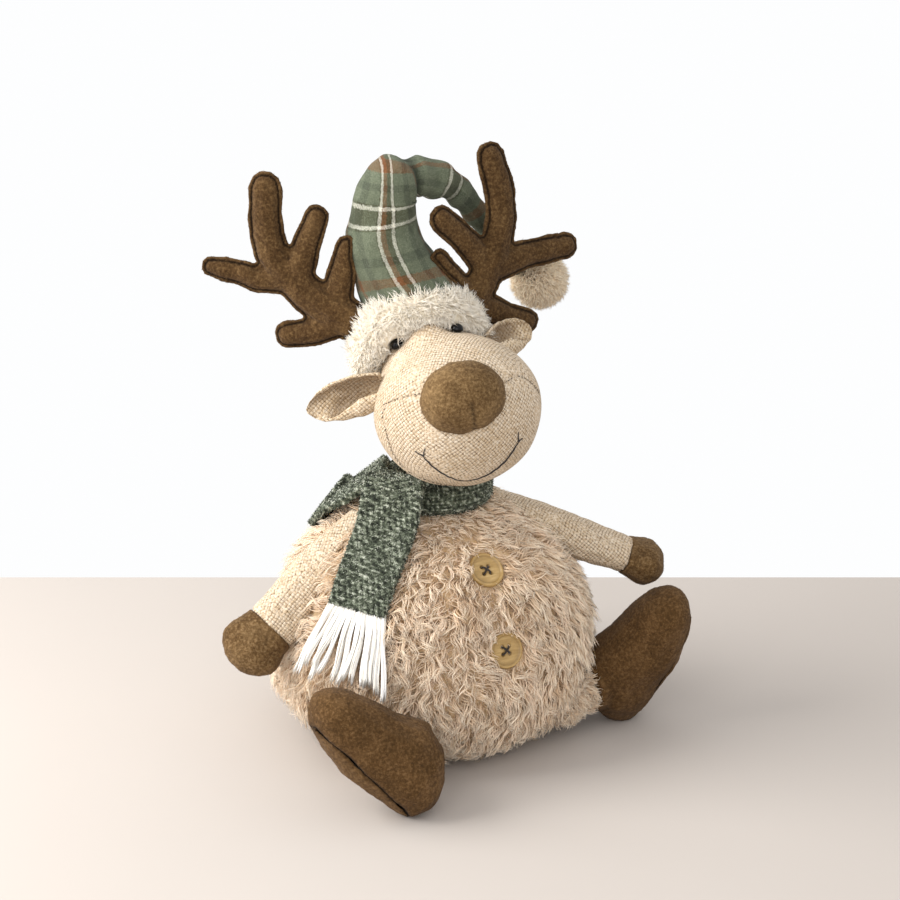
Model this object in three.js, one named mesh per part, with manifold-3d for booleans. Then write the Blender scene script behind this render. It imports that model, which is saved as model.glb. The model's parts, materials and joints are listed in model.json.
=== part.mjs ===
// A seated plush deer in a tartan hat and a knitted scarf, built from its sewn and stuffed pieces.
// Millimetres, +Z up. The toy faces -Y, its own right hand is on -X, and the origin is the middle of
// the flat face that its body sits on.
import * as THREE from 'three';
import { mergeVertices } from 'three/addons/utils/BufferGeometryUtils.js';
import Module from 'manifold-3d';

const wasm = await Module();
wasm.setup();

// Fits that every piece shares
const seatGap = 0.3;
const cutOverrun = 4;
const pressedFlat = 0.5;
const socketClear = 0.8;
const limbClear = 1.3;
const facetSlack = 0.16;

// Body: a furry pear over its filling and a bag of pellets
const bodyRadius = 99;
const bodyHeight = 158;
const bodyWall = 6;
const bodyShares = [[0.4, 0], [0.61, 0.055], [0.81, 0.125], [0.94, 0.22], [1, 0.38], [0.945, 0.57],
  [0.79, 0.76], [0.55, 0.905], [0.33, 0.985]];
const pelletBagRadius = 44;
const pelletBagHeight = 26;

// Neck: a short linen tube that stands in the body's neck opening
const neckRadius = 17;
const neckSink = 7;
const neckForward = 4;
const neckTopShare = 1.06;

// Head: a linen pear with the muzzle as its thick end
const muzzleRadius = 51;
const crownRadius = 28;
const headSquashShare = 0.9;
const headWall = 2.5;
const muzzlePlace = { side: -3.5, forward: 43.6, height: 224.6 };
const crownPlace = { side: -8.6, back: 33, up: 24 };
const headYaw = THREE.MathUtils.degToRad(-16);
const headRoll = THREE.MathUtils.degToRad(-9);

// Felt nose, sewn on the top of the muzzle's front
const noseSize = { side: 25.5, forward: 19, up: 22 };
const noseAim = new THREE.Vector3(-0.06, -0.89, 0.45);
const noseSink = 3;

// Eyes with a shank through the linen and a washer behind it
const eyeRadius = 4;
const shankRadius = 1.6;
const shankLength = 7;
const washerRadius = 5.5;
const washerThickness = 1.2;
const washerSettle = 0.9;
const eyeClear = 2.5;
const eyeAims = { left: new THREE.Vector3(0.19, 0.3, 0.95), right: new THREE.Vector3(-0.5, 0.42, 0.78) };

// Ears: folded linen leaves
const earWidth = 23;
const earThickness = 4.5;
const earCup = 7;
const ears = {
  right: { length: 50, root: new THREE.Vector3(-0.88, 0.27, 0.39), aim: new THREE.Vector3(-0.965, 0.2, -0.17),
    spread: new THREE.Vector3(0.2, 0.25, 0.95) },
  left: { length: 42, root: new THREE.Vector3(0.66, 0.5, 0.56), aim: new THREE.Vector3(0.64, 0.72, 0.25),
    spread: new THREE.Vector3(-0.69, 0.34, 0.64) },
};

// Hat: a cone of cloth with a tail that bends over, a furry cuff and a furry ball. Each ring of the
// cone is [across, back, up, half width, half depth] in shares of the hat's height, then its lean.
const hatHeight = 100;
const hatWall = 1.6;
const hatRingShares = [[-0.095, 0.375, 0.257, 0.295, 0.295, 58], [-0.095, 0.46, 0.31, 0.305, 0.305, 58],
  [-0.085, 0.51, 0.44, 0.32, 0.295, 40], [-0.085, 0.535, 0.58, 0.31, 0.28, 22], [-0.14, 0.555, 0.76, 0.275, 0.26, 8],
  [-0.185, 0.565, 0.94, 0.24, 0.24, 2], [-0.19, 0.58, 1.07, 0.225, 0.225, 0], [-0.155, 0.593, 1.195, 0.2, 0.2, 0]];
const foldShares = [-0.115, 0.6, 1.282];
const foldRadius = 19.5;
const tailLineShares = [foldShares, [0.055, 0.63, 1.334], [0.172, 0.68, 1.288], [0.298, 0.73, 1.207],
  [0.411, 0.79, 1.061], [0.502, 0.85, 0.886], [0.605, 0.92, 0.676], [0.7, 0.97, 0.52]];
const tailRadiusShares = [0.6, 0.66, 0.61, 0.48, 0.41, 0.36, 0.3, 0.24];
const pompomShares = [0.836, 1.04, 0.4];
const pompomRadius = 19;
const cuffShares = [-0.095, 0.46, 0.31];
const cuffLean = THREE.MathUtils.degToRad(58);
const cuffRadius = 41.5;
const cuffDepth = 14;
const cuffHalfWidth = 14.5;

// Antlers: two felt layers sewn together near their edge and stuffed between
const antlerHeight = 100;
const seamAllowance = 2.6;
const feltThickness = 1.2;
const antlerFullness = 0.74;
const antlerSweep = THREE.MathUtils.degToRad(20);
const antlerSeats = { right: [-0.412, 0.49, 0.524], left: [0.245, 0.49, 0.382] };
const antlers = {
  right: {
    tines: {
      trunk: { line: [[-0.08, -0.06], [0.04, 0.0], [0.17, 0.08], [0.29, 0.19], [0.41, 0.34]],
        widths: [0.115, 0.13, 0.15, 0.135, 0.12] },
      tall: { line: [[0.41, 0.33], [0.485, 0.46], [0.505, 0.67], [0.46, 0.92]], widths: [0.12, 0.115, 0.108, 0.1] },
      second: { line: [[0.37, 0.34], [0.27, 0.54], [0.175, 0.7]], widths: [0.115, 0.088, 0.078] },
      outer: { line: [[0.42, 0.34], [0.6, 0.35], [0.73, 0.41], [0.885, 0.46]], widths: [0.11, 0.09, 0.082, 0.07] },
      inner: { line: [[0.17, 0.12], [0.085, 0.33], [0.02, 0.49]], widths: [0.115, 0.088, 0.075] },
      lower: { line: [[0.14, 0.06], [0.32, -0.02], [0.49, -0.03]], widths: [0.13, 0.1, 0.088] },
    },
  },
  left: {
    tines: {
      trunk: { line: [[-0.06, -0.12], [0.01, -0.02], [0.05, 0.08], [0.11, 0.2], [0.21, 0.34]],
        widths: [0.1, 0.11, 0.11, 0.12, 0.13] },
      tall: { line: [[0.22, 0.34], [0.33, 0.55], [0.355, 0.77], [0.325, 0.98]], widths: [0.13, 0.112, 0.11, 0.1] },
      second: { line: [[0.17, 0.35], [0.03, 0.55], [-0.085, 0.69]], widths: [0.11, 0.09, 0.088] },
      outer: { line: [[0.22, 0.3], [0.5, 0.31], [0.78, 0.285]], widths: [0.115, 0.095, 0.088] },
      inner: { line: [[0.02, 0.17], [-0.08, 0.32], [-0.15, 0.45]], widths: [0.095, 0.078, 0.066] },
      lower: { line: [[0.07, 0.09], [0.28, -0.04], [0.42, -0.115]], widths: [0.11, 0.085, 0.078] },
    },
  },
};

// Scarf: a knitted band round the neck with two ends, each with a yarn fringe
const scarfWidth = 40;
const scarfThickness = 4.5;
const scarfBandRadius = 31;
const scarfBandThickness = 13;
const scarfBandHeight = 19;
const scarfBandSink = 3;
const fringeSpread = 58;
const fringeThickness = 6;
// The middle line of each end is in shares of the body's radius and height.
const scarfEnds = {
  front: { pathShares: [[-0.242, -0.192, 1.117], [-0.374, -0.242, 1.13], [-0.444, -0.333, 1.07], [-0.505, -0.364, 0.962],
    [-0.667, -0.444, 0.81], [-0.768, -0.495, 0.69]],
  fringe: 46, fringeAim: new THREE.Vector3(-0.4, -0.2, -0.9) },
  back: { pathShares: [[-0.222, 0.182, 1.12], [-0.374, 0.232, 1.032], [-0.465, 0.313, 0.981], [-0.505, 0.434, 0.937],
    [-0.404, 0.586, 0.886], [-0.273, 0.717, 0.804], [-0.172, 0.828, 0.703], [-0.111, 0.909, 0.589],
    [-0.091, 0.97, 0.475]],
  fringe: 38, fringeAim: new THREE.Vector3(-0.03, 0.06, -1) },
};

// Arms: flattened linen tubes with felt hands
const shoulderHeight = 143;
const shoulderSpread = 43;
const armBallRadius = 12.5;
const armWideRadius = 17.5;
const armThickRadius = 11;
const armSwellShares = [0.86, 1, 1.08, 1.09, 1.03, 0.96];
const handSwell = 1.16;
const arms = {
  right: { length: 89, hand: 32, aim: new THREE.Vector3(-0.775, 0, -0.632), wide: new THREE.Vector3(-0.59, 0.54, 0.6),
    fullness: 1 },
  left: { length: 96, hand: 26, aim: new THREE.Vector3(0.851, -0.362, -0.392), wide: new THREE.Vector3(0.41, 0.912, 0),
    fullness: 1.1 },
};

// Legs: short linen tubes from the body's lower edge to felt boots that lie on their heels
const hipHeight = 28;
const hipBearing = THREE.MathUtils.degToRad(44);
const hipBallRadius = 13.5;
const legRadius = 11;
const bootTopRadius = 16.5;
const bootTopSpare = 9;
const bootRings = [{ along: -0.01, middle: 0.12, high: 0.06, wide: 0.09 }, { along: 0.05, middle: 0.13, high: 0.17, wide: 0.17 },
  { along: 0.18, middle: 0.178, high: 0.25, wide: 0.225 }, { along: 0.36, middle: 0.19, high: 0.285, wide: 0.24 },
  { along: 0.54, middle: 0.14, high: 0.247, wide: 0.235 }, { along: 0.75, middle: 0.125, high: 0.2, wide: 0.22 },
  { along: 0.88, middle: 0.12, high: 0.155, wide: 0.185 }, { along: 0.96, middle: 0.118, high: 0.1, wide: 0.12 },
  { along: 1, middle: 0.118, high: 0.035, wide: 0.045 }];
const soleSeamShare = -0.025;
const ankleShares = { along: 0.24, middle: 0.2 };
const legs = {
  right: { heel: new THREE.Vector3(-71.8, -117.1, 0), toeAim: new THREE.Vector3(-0.622, 0.258, 0.736),
    soleAim: new THREE.Vector3(-0.77, -0.052, -0.633), length: 98 },
  left: { heel: new THREE.Vector3(119.5, -48.2, 0), toeAim: new THREE.Vector3(0.236, -0.394, 0.888),
    soleAim: new THREE.Vector3(0.901, -0.256, -0.353), length: 102 },
};

// Wooden buttons with a raised rim and four holes, and the crossed thread that holds them
const buttonRadius = 11.4;
const buttonThickness = 3.6;
const buttonRim = 2.2;
const buttonDish = 1.2;
const buttonHoleRadius = 1.3;
const buttonHoleSpacing = 4.6;
const buttonSink = 2;
const threadRadius = 0.9;
const buttonHeightShares = { upper: 0.814, lower: 0.535 };
const buttonBearing = THREE.MathUtils.degToRad(1.3);

// Colours
const furBeige = 0xdcc4a8;
const linen = 0xd6c1a4;
const feltBrown = 0x6a4e36;
const noseBrown = 0x8a6a48;
const cream = 0xf1e8d8;
const hatGreen = 0x6f7f6c;
const scarfGreen = 0x66785f;
const yarnWhite = 0xf3f1ec;
const fillingWhite = 0xf5f5f2;
const woodTan = 0xc8ae78;
const glossBlack = 0x0d0d0f;
const threadBrown = 0x33261d;

// Facet counts
const bodySides = 28;
const bodyRows = 10;
const headSides = 24;
const hatSides = 18;
const socketSides = 14;
const limbSides = 12;
const bootSides = 14;
const smallSides = 8;
const holeSides = 6;

// Turns a geometry into a solid that can be cut and joined.
function solid(geometry) {
  const bare = geometry.clone();
  bare.deleteAttribute('normal');
  bare.deleteAttribute('uv');
  const merged = mergeVertices(bare);
  const triVerts = new Uint32Array(merged.index.array);
  const vertProperties = new Float32Array(merged.attributes.position.array);
  return new wasm.Manifold(new wasm.Mesh({ numProp: 3, vertProperties, triVerts }));
}

// Turns a solid back into a geometry.
function surface(body) {
  const data = body.simplify(facetSlack).getMesh();
  const geometry = new THREE.BufferGeometry();
  geometry.setAttribute('position', new THREE.BufferAttribute(data.vertProperties, 3));
  geometry.setIndex(new THREE.BufferAttribute(data.triVerts, 1));
  geometry.computeVertexNormals();
  return geometry;
}

// Joins solids into one.
function join(...pieces) {
  return pieces.reduce((whole, piece) => whole.add(piece));
}

// Cuts solids out of the first one.
function cut(piece, ...tools) {
  return tools.reduce((rest, tool) => rest.subtract(tool), piece);
}

// Closes a row of rings of equal counts into one solid, with a fan on each end.
function loft(rings) {
  const sides = rings[0].length;
  const positions = [];
  const index = [];
  rings.forEach((ring) => ring.forEach((point) => positions.push(...point.toArray())));
  for (let row = 0; row + 1 < rings.length; row += 1) {
    for (let side = 0; side < sides; side += 1) {
      const next = (side + 1) % sides;
      const a = row * sides + side;
      const b = row * sides + next;
      index.push(a, b, a + sides, b, b + sides, a + sides);
    }
  }
  [rings[0], rings[rings.length - 1]].forEach((ring, end) => {
    const middle = ring.reduce((sum, point) => sum.add(point), new THREE.Vector3()).divideScalar(sides);
    const first = end * (rings.length - 1) * sides;
    positions.push(...middle.toArray());
    const tip = positions.length / 3 - 1;
    for (let side = 0; side < sides; side += 1) {
      const next = (side + 1) % sides;
      index.push(tip, first + (end ? side : next), first + (end ? next : side));
    }
  });
  const geometry = new THREE.BufferGeometry();
  geometry.setAttribute('position', new THREE.Float32BufferAttribute(positions, 3));
  geometry.setIndex(index);
  if (signedVolume(geometry) < 0) {
    geometry.setIndex(index.reverse());
  }
  return solid(geometry);
}

// The volume inside a geometry, negative when its faces point inwards.
function signedVolume(geometry) {
  const position = geometry.attributes.position;
  const corners = [new THREE.Vector3(), new THREE.Vector3(), new THREE.Vector3()];
  let volume = 0;
  for (let at = 0; at < geometry.index.count; at += 3) {
    corners.forEach((corner, step) => corner.fromBufferAttribute(position, geometry.index.getX(at + step)));
    volume += corners[0].dot(corners[1].cross(corners[2])) / 6;
  }
  return volume;
}

// An oval ring of points round a centre.
function oval(centre, wide, thick, wideRadius, thickRadius, sides) {
  return Array.from({ length: sides }, (unused, side) => {
    const angle = (side / sides) * Math.PI * 2;
    return centre.clone().addScaledVector(wide, wideRadius * Math.cos(angle))
      .addScaledVector(thick, thickRadius * Math.sin(angle));
  });
}

// A four-cornered ring of points round a centre.
function flat(centre, wide, thick, halfWidth, halfThickness) {
  return [[1, 1], [-1, 1], [-1, -1], [1, -1]].map(([across, through]) => centre.clone()
    .addScaledVector(wide, across * halfWidth).addScaledVector(thick, through * halfThickness));
}

// A value read between the entries of a table, from 0 at its start to 1 at its end.
function between(table, share) {
  const place = Math.min(Math.max(share, 0), 1) * (table.length - 1);
  const low = Math.min(Math.floor(place), table.length - 2);
  return THREE.MathUtils.lerp(table[low], table[low + 1], place - low);
}

// A closed solid turned round the Z axis from a profile of [radius, height] pairs.
function turned(profile, sides = bodySides) {
  const points = profile.map(([radius, height]) => new THREE.Vector2(radius, height));
  const geometry = new THREE.LatheGeometry(points, sides);
  geometry.rotateX(Math.PI / 2);
  const indexed = mergeVertices(stripped(geometry));
  if (signedVolume(indexed) < 0) {
    indexed.setIndex(Array.from(indexed.index.array).reverse());
  }
  return solid(indexed);
}

function stripped(geometry) {
  geometry.deleteAttribute('normal');
  geometry.deleteAttribute('uv');
  return geometry;
}

// A ball or an egg round a centre.
function egg(centre, radii, sides = bodySides) {
  const geometry = new THREE.SphereGeometry(1, sides, Math.round(sides / 2));
  geometry.scale(radii.x, radii.y, radii.z);
  geometry.translate(centre.x, centre.y, centre.z);
  return solid(mergeVertices(stripped(geometry)));
}

function ball(centre, radius, sides = bodySides) {
  return egg(centre, new THREE.Vector3(radius, radius, radius), sides);
}

// The part of a solid that lies above the floor, pressed flat where it rests.
function restingOnFloor(piece) {
  const reach = bodyRadius * 4;
  const ground = new THREE.BoxGeometry(reach, reach, bodyHeight);
  ground.translate(0, 0, -bodyHeight / 2);
  return cut(piece, solid(ground));
}

// Body

// The body's outline as a smooth line of [radius, height] pairs, let out by a distance.
function bodyProfile(out) {
  const guide = bodyShares.map(([wide, high]) => new THREE.Vector2(wide * bodyRadius, high * bodyHeight));
  const line = new THREE.SplineCurve(guide);
  return Array.from({ length: bodyRows + 1 }, (unused, row) => {
    const point = line.getPoint(row / bodyRows);
    const tangent = line.getTangent(row / bodyRows);
    return [point.x + tangent.y * out, Math.max(point.y - tangent.x * out, -out)];
  });
}

// The radius of the body's outside at a height.
function bodyRadiusAt(height) {
  const profile = bodyProfile(0);
  for (let row = 0; row + 1 < profile.length; row += 1) {
    const [[lowRadius, lowHeight], [highRadius, highHeight]] = [profile[row], profile[row + 1]];
    if (height >= lowHeight && height <= highHeight) {
      return THREE.MathUtils.mapLinear(height, lowHeight, highHeight, lowRadius, highRadius);
    }
  }
  return profile[profile.length - 1][0];
}

// The direction that the body's outside faces at a height, as [outward, upward] shares.
function bodyFacing(height) {
  const step = bodyHeight / 60;
  const slope = (bodyRadiusAt(height + step) - bodyRadiusAt(height - step)) / (2 * step);
  const size = Math.hypot(1, slope);
  return [1 / size, -slope / size];
}

// A point over the body's outside at a bearing from its front and a height, let out by a distance.
function overBody(bearing, height, out) {
  const [outward, upward] = bodyFacing(height);
  const radius = bodyRadiusAt(height) + out * outward;
  return new THREE.Vector3(Math.sin(bearing) * radius, -Math.cos(bearing) * radius, height + out * upward);
}

function bodyForm(out) {
  const profile = bodyProfile(out);
  return turned([[0, profile[0][1]], ...profile, [0, profile[profile.length - 1][1]]]);
}

const neckFoot = new THREE.Vector3(0, -neckForward, bodyHeight - neckSink);

function neckForm(out, rise, below = 0) {
  const radius = neckRadius + out;
  const neck = turned([[0, -below], [radius, -below], [radius, rise], [0, rise]]);
  return neck.translate(neckFoot.toArray());
}

function armBall(side, out) {
  return ball(shoulder(side), armBallRadius + out, socketSides);
}

function hipBall(side, out) {
  return ball(hip(side), hipBallRadius + out, socketSides);
}

function shoulder(side) {
  return new THREE.Vector3(side * shoulderSpread, 0, shoulderHeight);
}

function hip(side) {
  const radius = bodyRadiusAt(hipHeight);
  return new THREE.Vector3(side * Math.sin(hipBearing) * radius, -Math.cos(hipBearing) * radius, hipHeight);
}

const sides = { left: 1, right: -1 };
const limbSockets = Object.values(sides).flatMap((side) => [armBall(side, socketClear), hipBall(side, socketClear)]);

// The cover is open at the neck, where the head's neck stands in it.
function bodyCover() {
  const hollow = bodyForm(-bodyWall);
  const opening = neckForm(seatGap, neckSink + cutOverrun);
  return cut(bodyForm(0), hollow, opening, ...limbSockets, ...buttonPockets());
}

function pelletBag(out) {
  const floor = bodyWall + seatGap - out;
  const top = bodyWall + seatGap + pelletBagHeight + out;
  const middle = (floor + top) / 2;
  const radius = pelletBagRadius + out;
  const shoulderShare = 0.86;
  return turned([[0, floor], [radius * shoulderShare, floor], [radius, middle],
    [radius * shoulderShare, top], [0, top]]);
}

function bodyStuffing() {
  const fill = bodyForm(-bodyWall - seatGap);
  const under = turned([[0, 0], [pelletBagRadius, 0], [pelletBagRadius, bodyWall + seatGap + pelletBagHeight / 2],
    [0, bodyWall + seatGap + pelletBagHeight / 2]]);
  const neckWell = neckForm(seatGap, neckSink + cutOverrun, seatGap);
  return cut(fill, pelletBag(seatGap), under, neckWell, ...limbSockets, ...buttonPockets());
}

// Buttons

// The middle of a button's back and the direction that it faces.
function buttonSeat(name) {
  const height = bodyHeight * buttonHeightShares[name];
  const [outward, upward] = bodyFacing(height);
  const facing = new THREE.Vector3(Math.sin(buttonBearing) * outward, -Math.cos(buttonBearing) * outward, upward);
  return { place: overBody(buttonBearing, height, -buttonSink), facing };
}

// Moves a solid made round +Z onto a seat.
function seated(piece, { place, facing }) {
  const turn = new THREE.Quaternion().setFromUnitVectors(new THREE.Vector3(0, 0, 1), facing);
  const matrix = new THREE.Matrix4().compose(place, turn, new THREE.Vector3(1, 1, 1));
  return piece.transform(matrix.toArray());
}

function buttonPockets() {
  return Object.keys(buttonHeightShares).map((name) => {
    const radius = buttonRadius + seatGap;
    const pocket = turned([[0, -seatGap], [radius, -seatGap], [radius, buttonThickness + cutOverrun],
      [0, buttonThickness + cutOverrun]], hatSides);
    return seated(pocket, buttonSeat(name));
  });
}

function buttonHoles(radius) {
  const half = buttonHoleSpacing / 2;
  return [[1, 1], [-1, 1], [-1, -1], [1, -1]].map(([across, along]) => {
    const hole = turned([[0, -cutOverrun], [radius, -cutOverrun], [radius, buttonThickness + cutOverrun],
      [0, buttonThickness + cutOverrun]], holeSides);
    return hole.translate([across * half, along * half, 0]);
  });
}

function button(name) {
  const face = buttonThickness - buttonDish;
  const rimStart = buttonRadius - buttonRim;
  const round = buttonDish / 2;
  const disc = turned([[0, 0], [buttonRadius - round, 0], [buttonRadius, round], [buttonRadius, buttonThickness - round],
    [buttonRadius - round, buttonThickness], [rimStart + round, buttonThickness], [rimStart - round, face], [0, face]],
  hatSides);
  return seated(cut(disc, ...buttonHoles(buttonHoleRadius)), buttonSeat(name));
}

// Two crossed bars over the face, with a leg down each hole.
function buttonThread(name) {
  const face = buttonThickness - buttonDish + seatGap;
  const reach = (buttonHoleSpacing / 2) * Math.SQRT2;
  const bars = [1, -1].map((slant) => {
    const bar = new THREE.BoxGeometry(2 * reach + 2 * threadRadius, 2 * threadRadius, threadRadius);
    bar.rotateZ(slant * Math.PI / 4);
    bar.translate(0, 0, face + threadRadius / 2);
    return solid(mergeVertices(stripped(bar)));
  });
  const half = buttonHoleSpacing / 2;
  const stems = [[1, 1], [-1, 1], [-1, -1], [1, -1]].map(([across, along]) => turned([[0, 0], [threadRadius, 0],
    [threadRadius, face + threadRadius / 2], [0, face + threadRadius / 2]], holeSides)
    .translate([across * half, along * half, 0]));
  return seated(join(...bars, ...stems), buttonSeat(name));
}

// Head, in its own frame: the origin is the middle of the muzzle, -Y is where the nose points

const muzzleCentre = new THREE.Vector3(muzzlePlace.side, -muzzlePlace.forward, muzzlePlace.height);
const headTurn = new THREE.Euler(0, headRoll, headYaw, 'ZYX');
const headMatrix = new THREE.Matrix4().compose(muzzleCentre, new THREE.Quaternion().setFromEuler(headTurn),
  new THREE.Vector3(1, 1, 1));
const intoHead = headMatrix.clone().invert();
const crownCentre = new THREE.Vector3(crownPlace.side, crownPlace.back, crownPlace.up);

function inHead(piece) {
  return piece.transform(intoHead.toArray());
}

// The pear: two balls and the cone that touches both.
function pear(out) {
  const span = crownCentre.length();
  const lean = Math.acos((muzzleRadius - crownRadius) / span);
  const profile = [];
  const muzzleSteps = 8;
  const crownSteps = 4;
  for (let step = 0; step <= muzzleSteps; step += 1) {
    const angle = Math.PI - ((Math.PI - lean) * step) / muzzleSteps;
    profile.push([(muzzleRadius + out) * Math.sin(angle), (muzzleRadius + out) * Math.cos(angle)]);
  }
  for (let step = 0; step <= crownSteps; step += 1) {
    const angle = lean * (1 - step / crownSteps);
    profile.push([(crownRadius + out) * Math.sin(angle), span + (crownRadius + out) * Math.cos(angle)]);
  }
  profile[0][0] = 0;
  profile[profile.length - 1][0] = 0;
  const upright = seated(turned(profile, headSides), { place: new THREE.Vector3(), facing: crownCentre.clone().normalize() });
  return upright.scale([1, 1, headSquashShare]);
}

const neckRise = muzzlePlace.height * neckTopShare - bodyHeight + neckSink;

// The head and its neck, let out by a distance.
function headRoom(out) {
  return join(pear(out), inHead(neckForm(out, neckRise)));
}

function headCover() {
  const skin = headRoom(0);
  const hollow = join(pear(-headWall), inHead(neckForm(-headWall, neckRise - headWall, cutOverrun)));
  const shanks = Object.keys(eyeAims).map((name) => eyeShank(name, seatGap));
  return cut(skin, hollow, ...shanks);
}

function headStuffing() {
  const fill = join(pear(-headWall - seatGap), inHead(neckForm(-headWall - seatGap, neckRise - headWall)));
  return cut(fill, ...Object.keys(eyeAims).map((name) => eyeWasherRoom(name)));
}

// Where a line from the muzzle's middle leaves the pear, and the way that the surface faces there.
function onPear(direction) {
  const squash = new THREE.Vector3(1, 1, headSquashShare);
  const aim = direction.clone().divide(squash).normalize();
  const { place, facing } = onUprightPear(aim);
  return { place: place.multiply(squash), facing: facing.divide(squash).normalize() };
}

function onUprightPear(aim) {
  const axis = crownCentre.clone().normalize();
  const span = crownCentre.length();
  const taper = (muzzleRadius - crownRadius) / span;
  if (aim.dot(axis) <= taper) {
    return { place: aim.clone().multiplyScalar(muzzleRadius), facing: aim.clone() };
  }
  const away = aim.clone().addScaledVector(axis, -aim.dot(axis)).normalize();
  const facing = away.multiplyScalar(Math.sqrt(1 - taper * taper)).addScaledVector(axis, taper);
  const reach = muzzleRadius / aim.dot(facing);
  if (aim.dot(axis) * reach <= span + crownRadius * taper) {
    return { place: aim.clone().multiplyScalar(reach), facing };
  }
  const middle = aim.dot(crownCentre);
  const place = aim.clone().multiplyScalar(middle + Math.sqrt(middle * middle - span * span + crownRadius * crownRadius));
  return { place, facing: place.clone().sub(crownCentre).normalize() };
}

function noseForm(out) {
  const centre = noseAim.clone().normalize().multiplyScalar(muzzleRadius - noseSink);
  return egg(centre, new THREE.Vector3(noseSize.side + out, noseSize.forward + out, noseSize.up + out), hatSides);
}

function eyeSeat(name) {
  return onPear(eyeAims[name]);
}

function eyeShank(name, out) {
  const radius = shankRadius + out;
  const shank = turned([[0, -shankLength], [radius, -shankLength], [radius, cutOverrun], [0, cutOverrun]], smallSides);
  return seated(shank, eyeSeat(name));
}

function eye(name) {
  const flatBack = seatGap + shankRadius / 4;
  const profile = [[0, -shankLength], [shankRadius, -shankLength], [shankRadius, flatBack], [eyeRadius * 0.9, flatBack]];
  const steps = 4;
  for (let step = 0; step <= steps; step += 1) {
    const angle = (step / steps) * (Math.PI / 2);
    profile.push([eyeRadius * Math.cos(angle), flatBack + shankRadius / 2 + eyeRadius * Math.sin(angle)]);
  }
  profile[profile.length - 1][0] = 0;
  return seated(turned(profile, limbSides), eyeSeat(name));
}

function washerProfile(out) {
  const top = -headWall - seatGap - washerSettle + out;
  const low = top - washerThickness - 2 * out;
  return { top, low };
}

function eyeWasher(name) {
  const { top, low } = washerProfile(0);
  const bore = shankRadius + seatGap;
  const ring = turned([[bore, low], [washerRadius, low], [washerRadius, top], [bore, top], [bore, low]], limbSides);
  return seated(ring, eyeSeat(name));
}

function eyeWasherRoom(name) {
  const depth = shankLength + seatGap;
  const radius = washerRadius + seatGap;
  const room = turned([[0, -depth], [radius, -depth], [radius, cutOverrun], [0, cutOverrun]], limbSides);
  return seated(room, eyeSeat(name));
}

// A leaf whose edges curl up towards each other from the root to the tip.
function ear(side) {
  const { length, root, aim, spread } = ears[side];
  const start = onPear(root).place;
  const along = aim.clone().normalize();
  const wide = spread.clone().addScaledVector(along, -spread.dot(along)).normalize();
  const up = new THREE.Vector3().crossVectors(wide, along).multiplyScalar(-sides[side]);
  const widthShares = [0.42, 0.66, 0.9, 1, 0.93, 0.68, 0.3];
  const curlShares = [1.5, 1.25, 1, 0.8, 0.6, 0.45, 0.3];
  const rings = widthShares.map((widthShare, station) => {
    const share = station / (widthShares.length - 1);
    const centre = start.clone().addScaledVector(along, length * share - earThickness);
    const half = (earWidth / 2) * widthShare;
    const lift = earCup * curlShares[station] * widthShare;
    const across = [-1, -0.5, 0, 0.5, 1];
    const inner = across.map((x) => centre.clone().addScaledVector(wide, x * half)
      .addScaledVector(up, lift * x * x + earThickness / 2));
    const outer = across.slice().reverse().map((x) => centre.clone().addScaledVector(wide, x * half)
      .addScaledVector(up, lift * x * x - (earThickness / 2) * (1 - 0.5 * x * x)));
    return [...inner, ...outer];
  });
  return cut(loft(rings), pear(seatGap));
}

// Hat

// A place in the head's frame from shares of the hat's height.
function hatPlace([across, back, up]) {
  return new THREE.Vector3(across * hatHeight, back * hatHeight, up * hatHeight);
}

// One level ring of the hat, leaning back by an angle in degrees and let out by a distance.
function hatRing([across, back, up, wide, deep, leanDegrees], out) {
  const lean = THREE.MathUtils.degToRad(leanDegrees);
  const depthwise = new THREE.Vector3(0, Math.cos(lean), -Math.sin(lean));
  return oval(hatPlace([across, back, up]), new THREE.Vector3(1, 0, 0), depthwise, wide * hatHeight + out,
    deep * hatHeight + out, hatSides);
}

// The cone let out by a distance, its first ring carried on outwards by another.
function hatForm(out, overrun = 0) {
  const rings = hatRingShares.map((row) => hatRing(row, out));
  const lean = THREE.MathUtils.degToRad(hatRingShares[0][5]);
  const downward = new THREE.Vector3(0, -Math.sin(lean), -Math.cos(lean));
  rings.unshift(rings[0].map((point) => point.clone().addScaledVector(downward, overrun || seatGap)));
  return loft(rings);
}

const foldPlace = hatPlace(foldShares);

function foldBall(out) {
  return ball(foldPlace, foldRadius + out, hatSides);
}

// The cone of cloth: open below, and dished at its top where the tail's fold turns.
function hatCone() {
  const hollow = cut(hatForm(-hatWall, cutOverrun), foldBall(seatGap + hatWall));
  return cut(hatForm(0), hollow, headRoom(seatGap), tailForm(socketClear));
}

function hatStuffing() {
  return cut(hatForm(-hatWall - seatGap), foldBall(2 * seatGap + hatWall), headRoom(seatGap));
}

// Rings of a round tube along a line.
function tubeRings(line, radii, steps, count) {
  const rings = [];
  let wide = new THREE.Vector3(0, 1, 0);
  for (let step = 0; step <= steps; step += 1) {
    const tangent = line.getTangent(step / steps);
    wide = wide.clone().addScaledVector(tangent, -wide.dot(tangent)).normalize();
    const thick = new THREE.Vector3().crossVectors(tangent, wide);
    const radius = between(radii, step / steps);
    rings.push(oval(line.getPoint(step / steps), wide, thick, radius, radius, count));
  }
  return rings;
}

function tailForm(out) {
  const line = new THREE.CatmullRomCurve3(tailLineShares.map(hatPlace));
  const radii = tailRadiusShares.map((share) => share * foldRadius + out);
  return join(loft(tubeRings(line, radii, 11, limbSides)), foldBall(out));
}

function hatTail() {
  return cut(tailForm(0), pompom(seatGap));
}

function pompom(out) {
  return ball(hatPlace(pompomShares), pompomRadius + out, hatSides);
}

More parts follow.
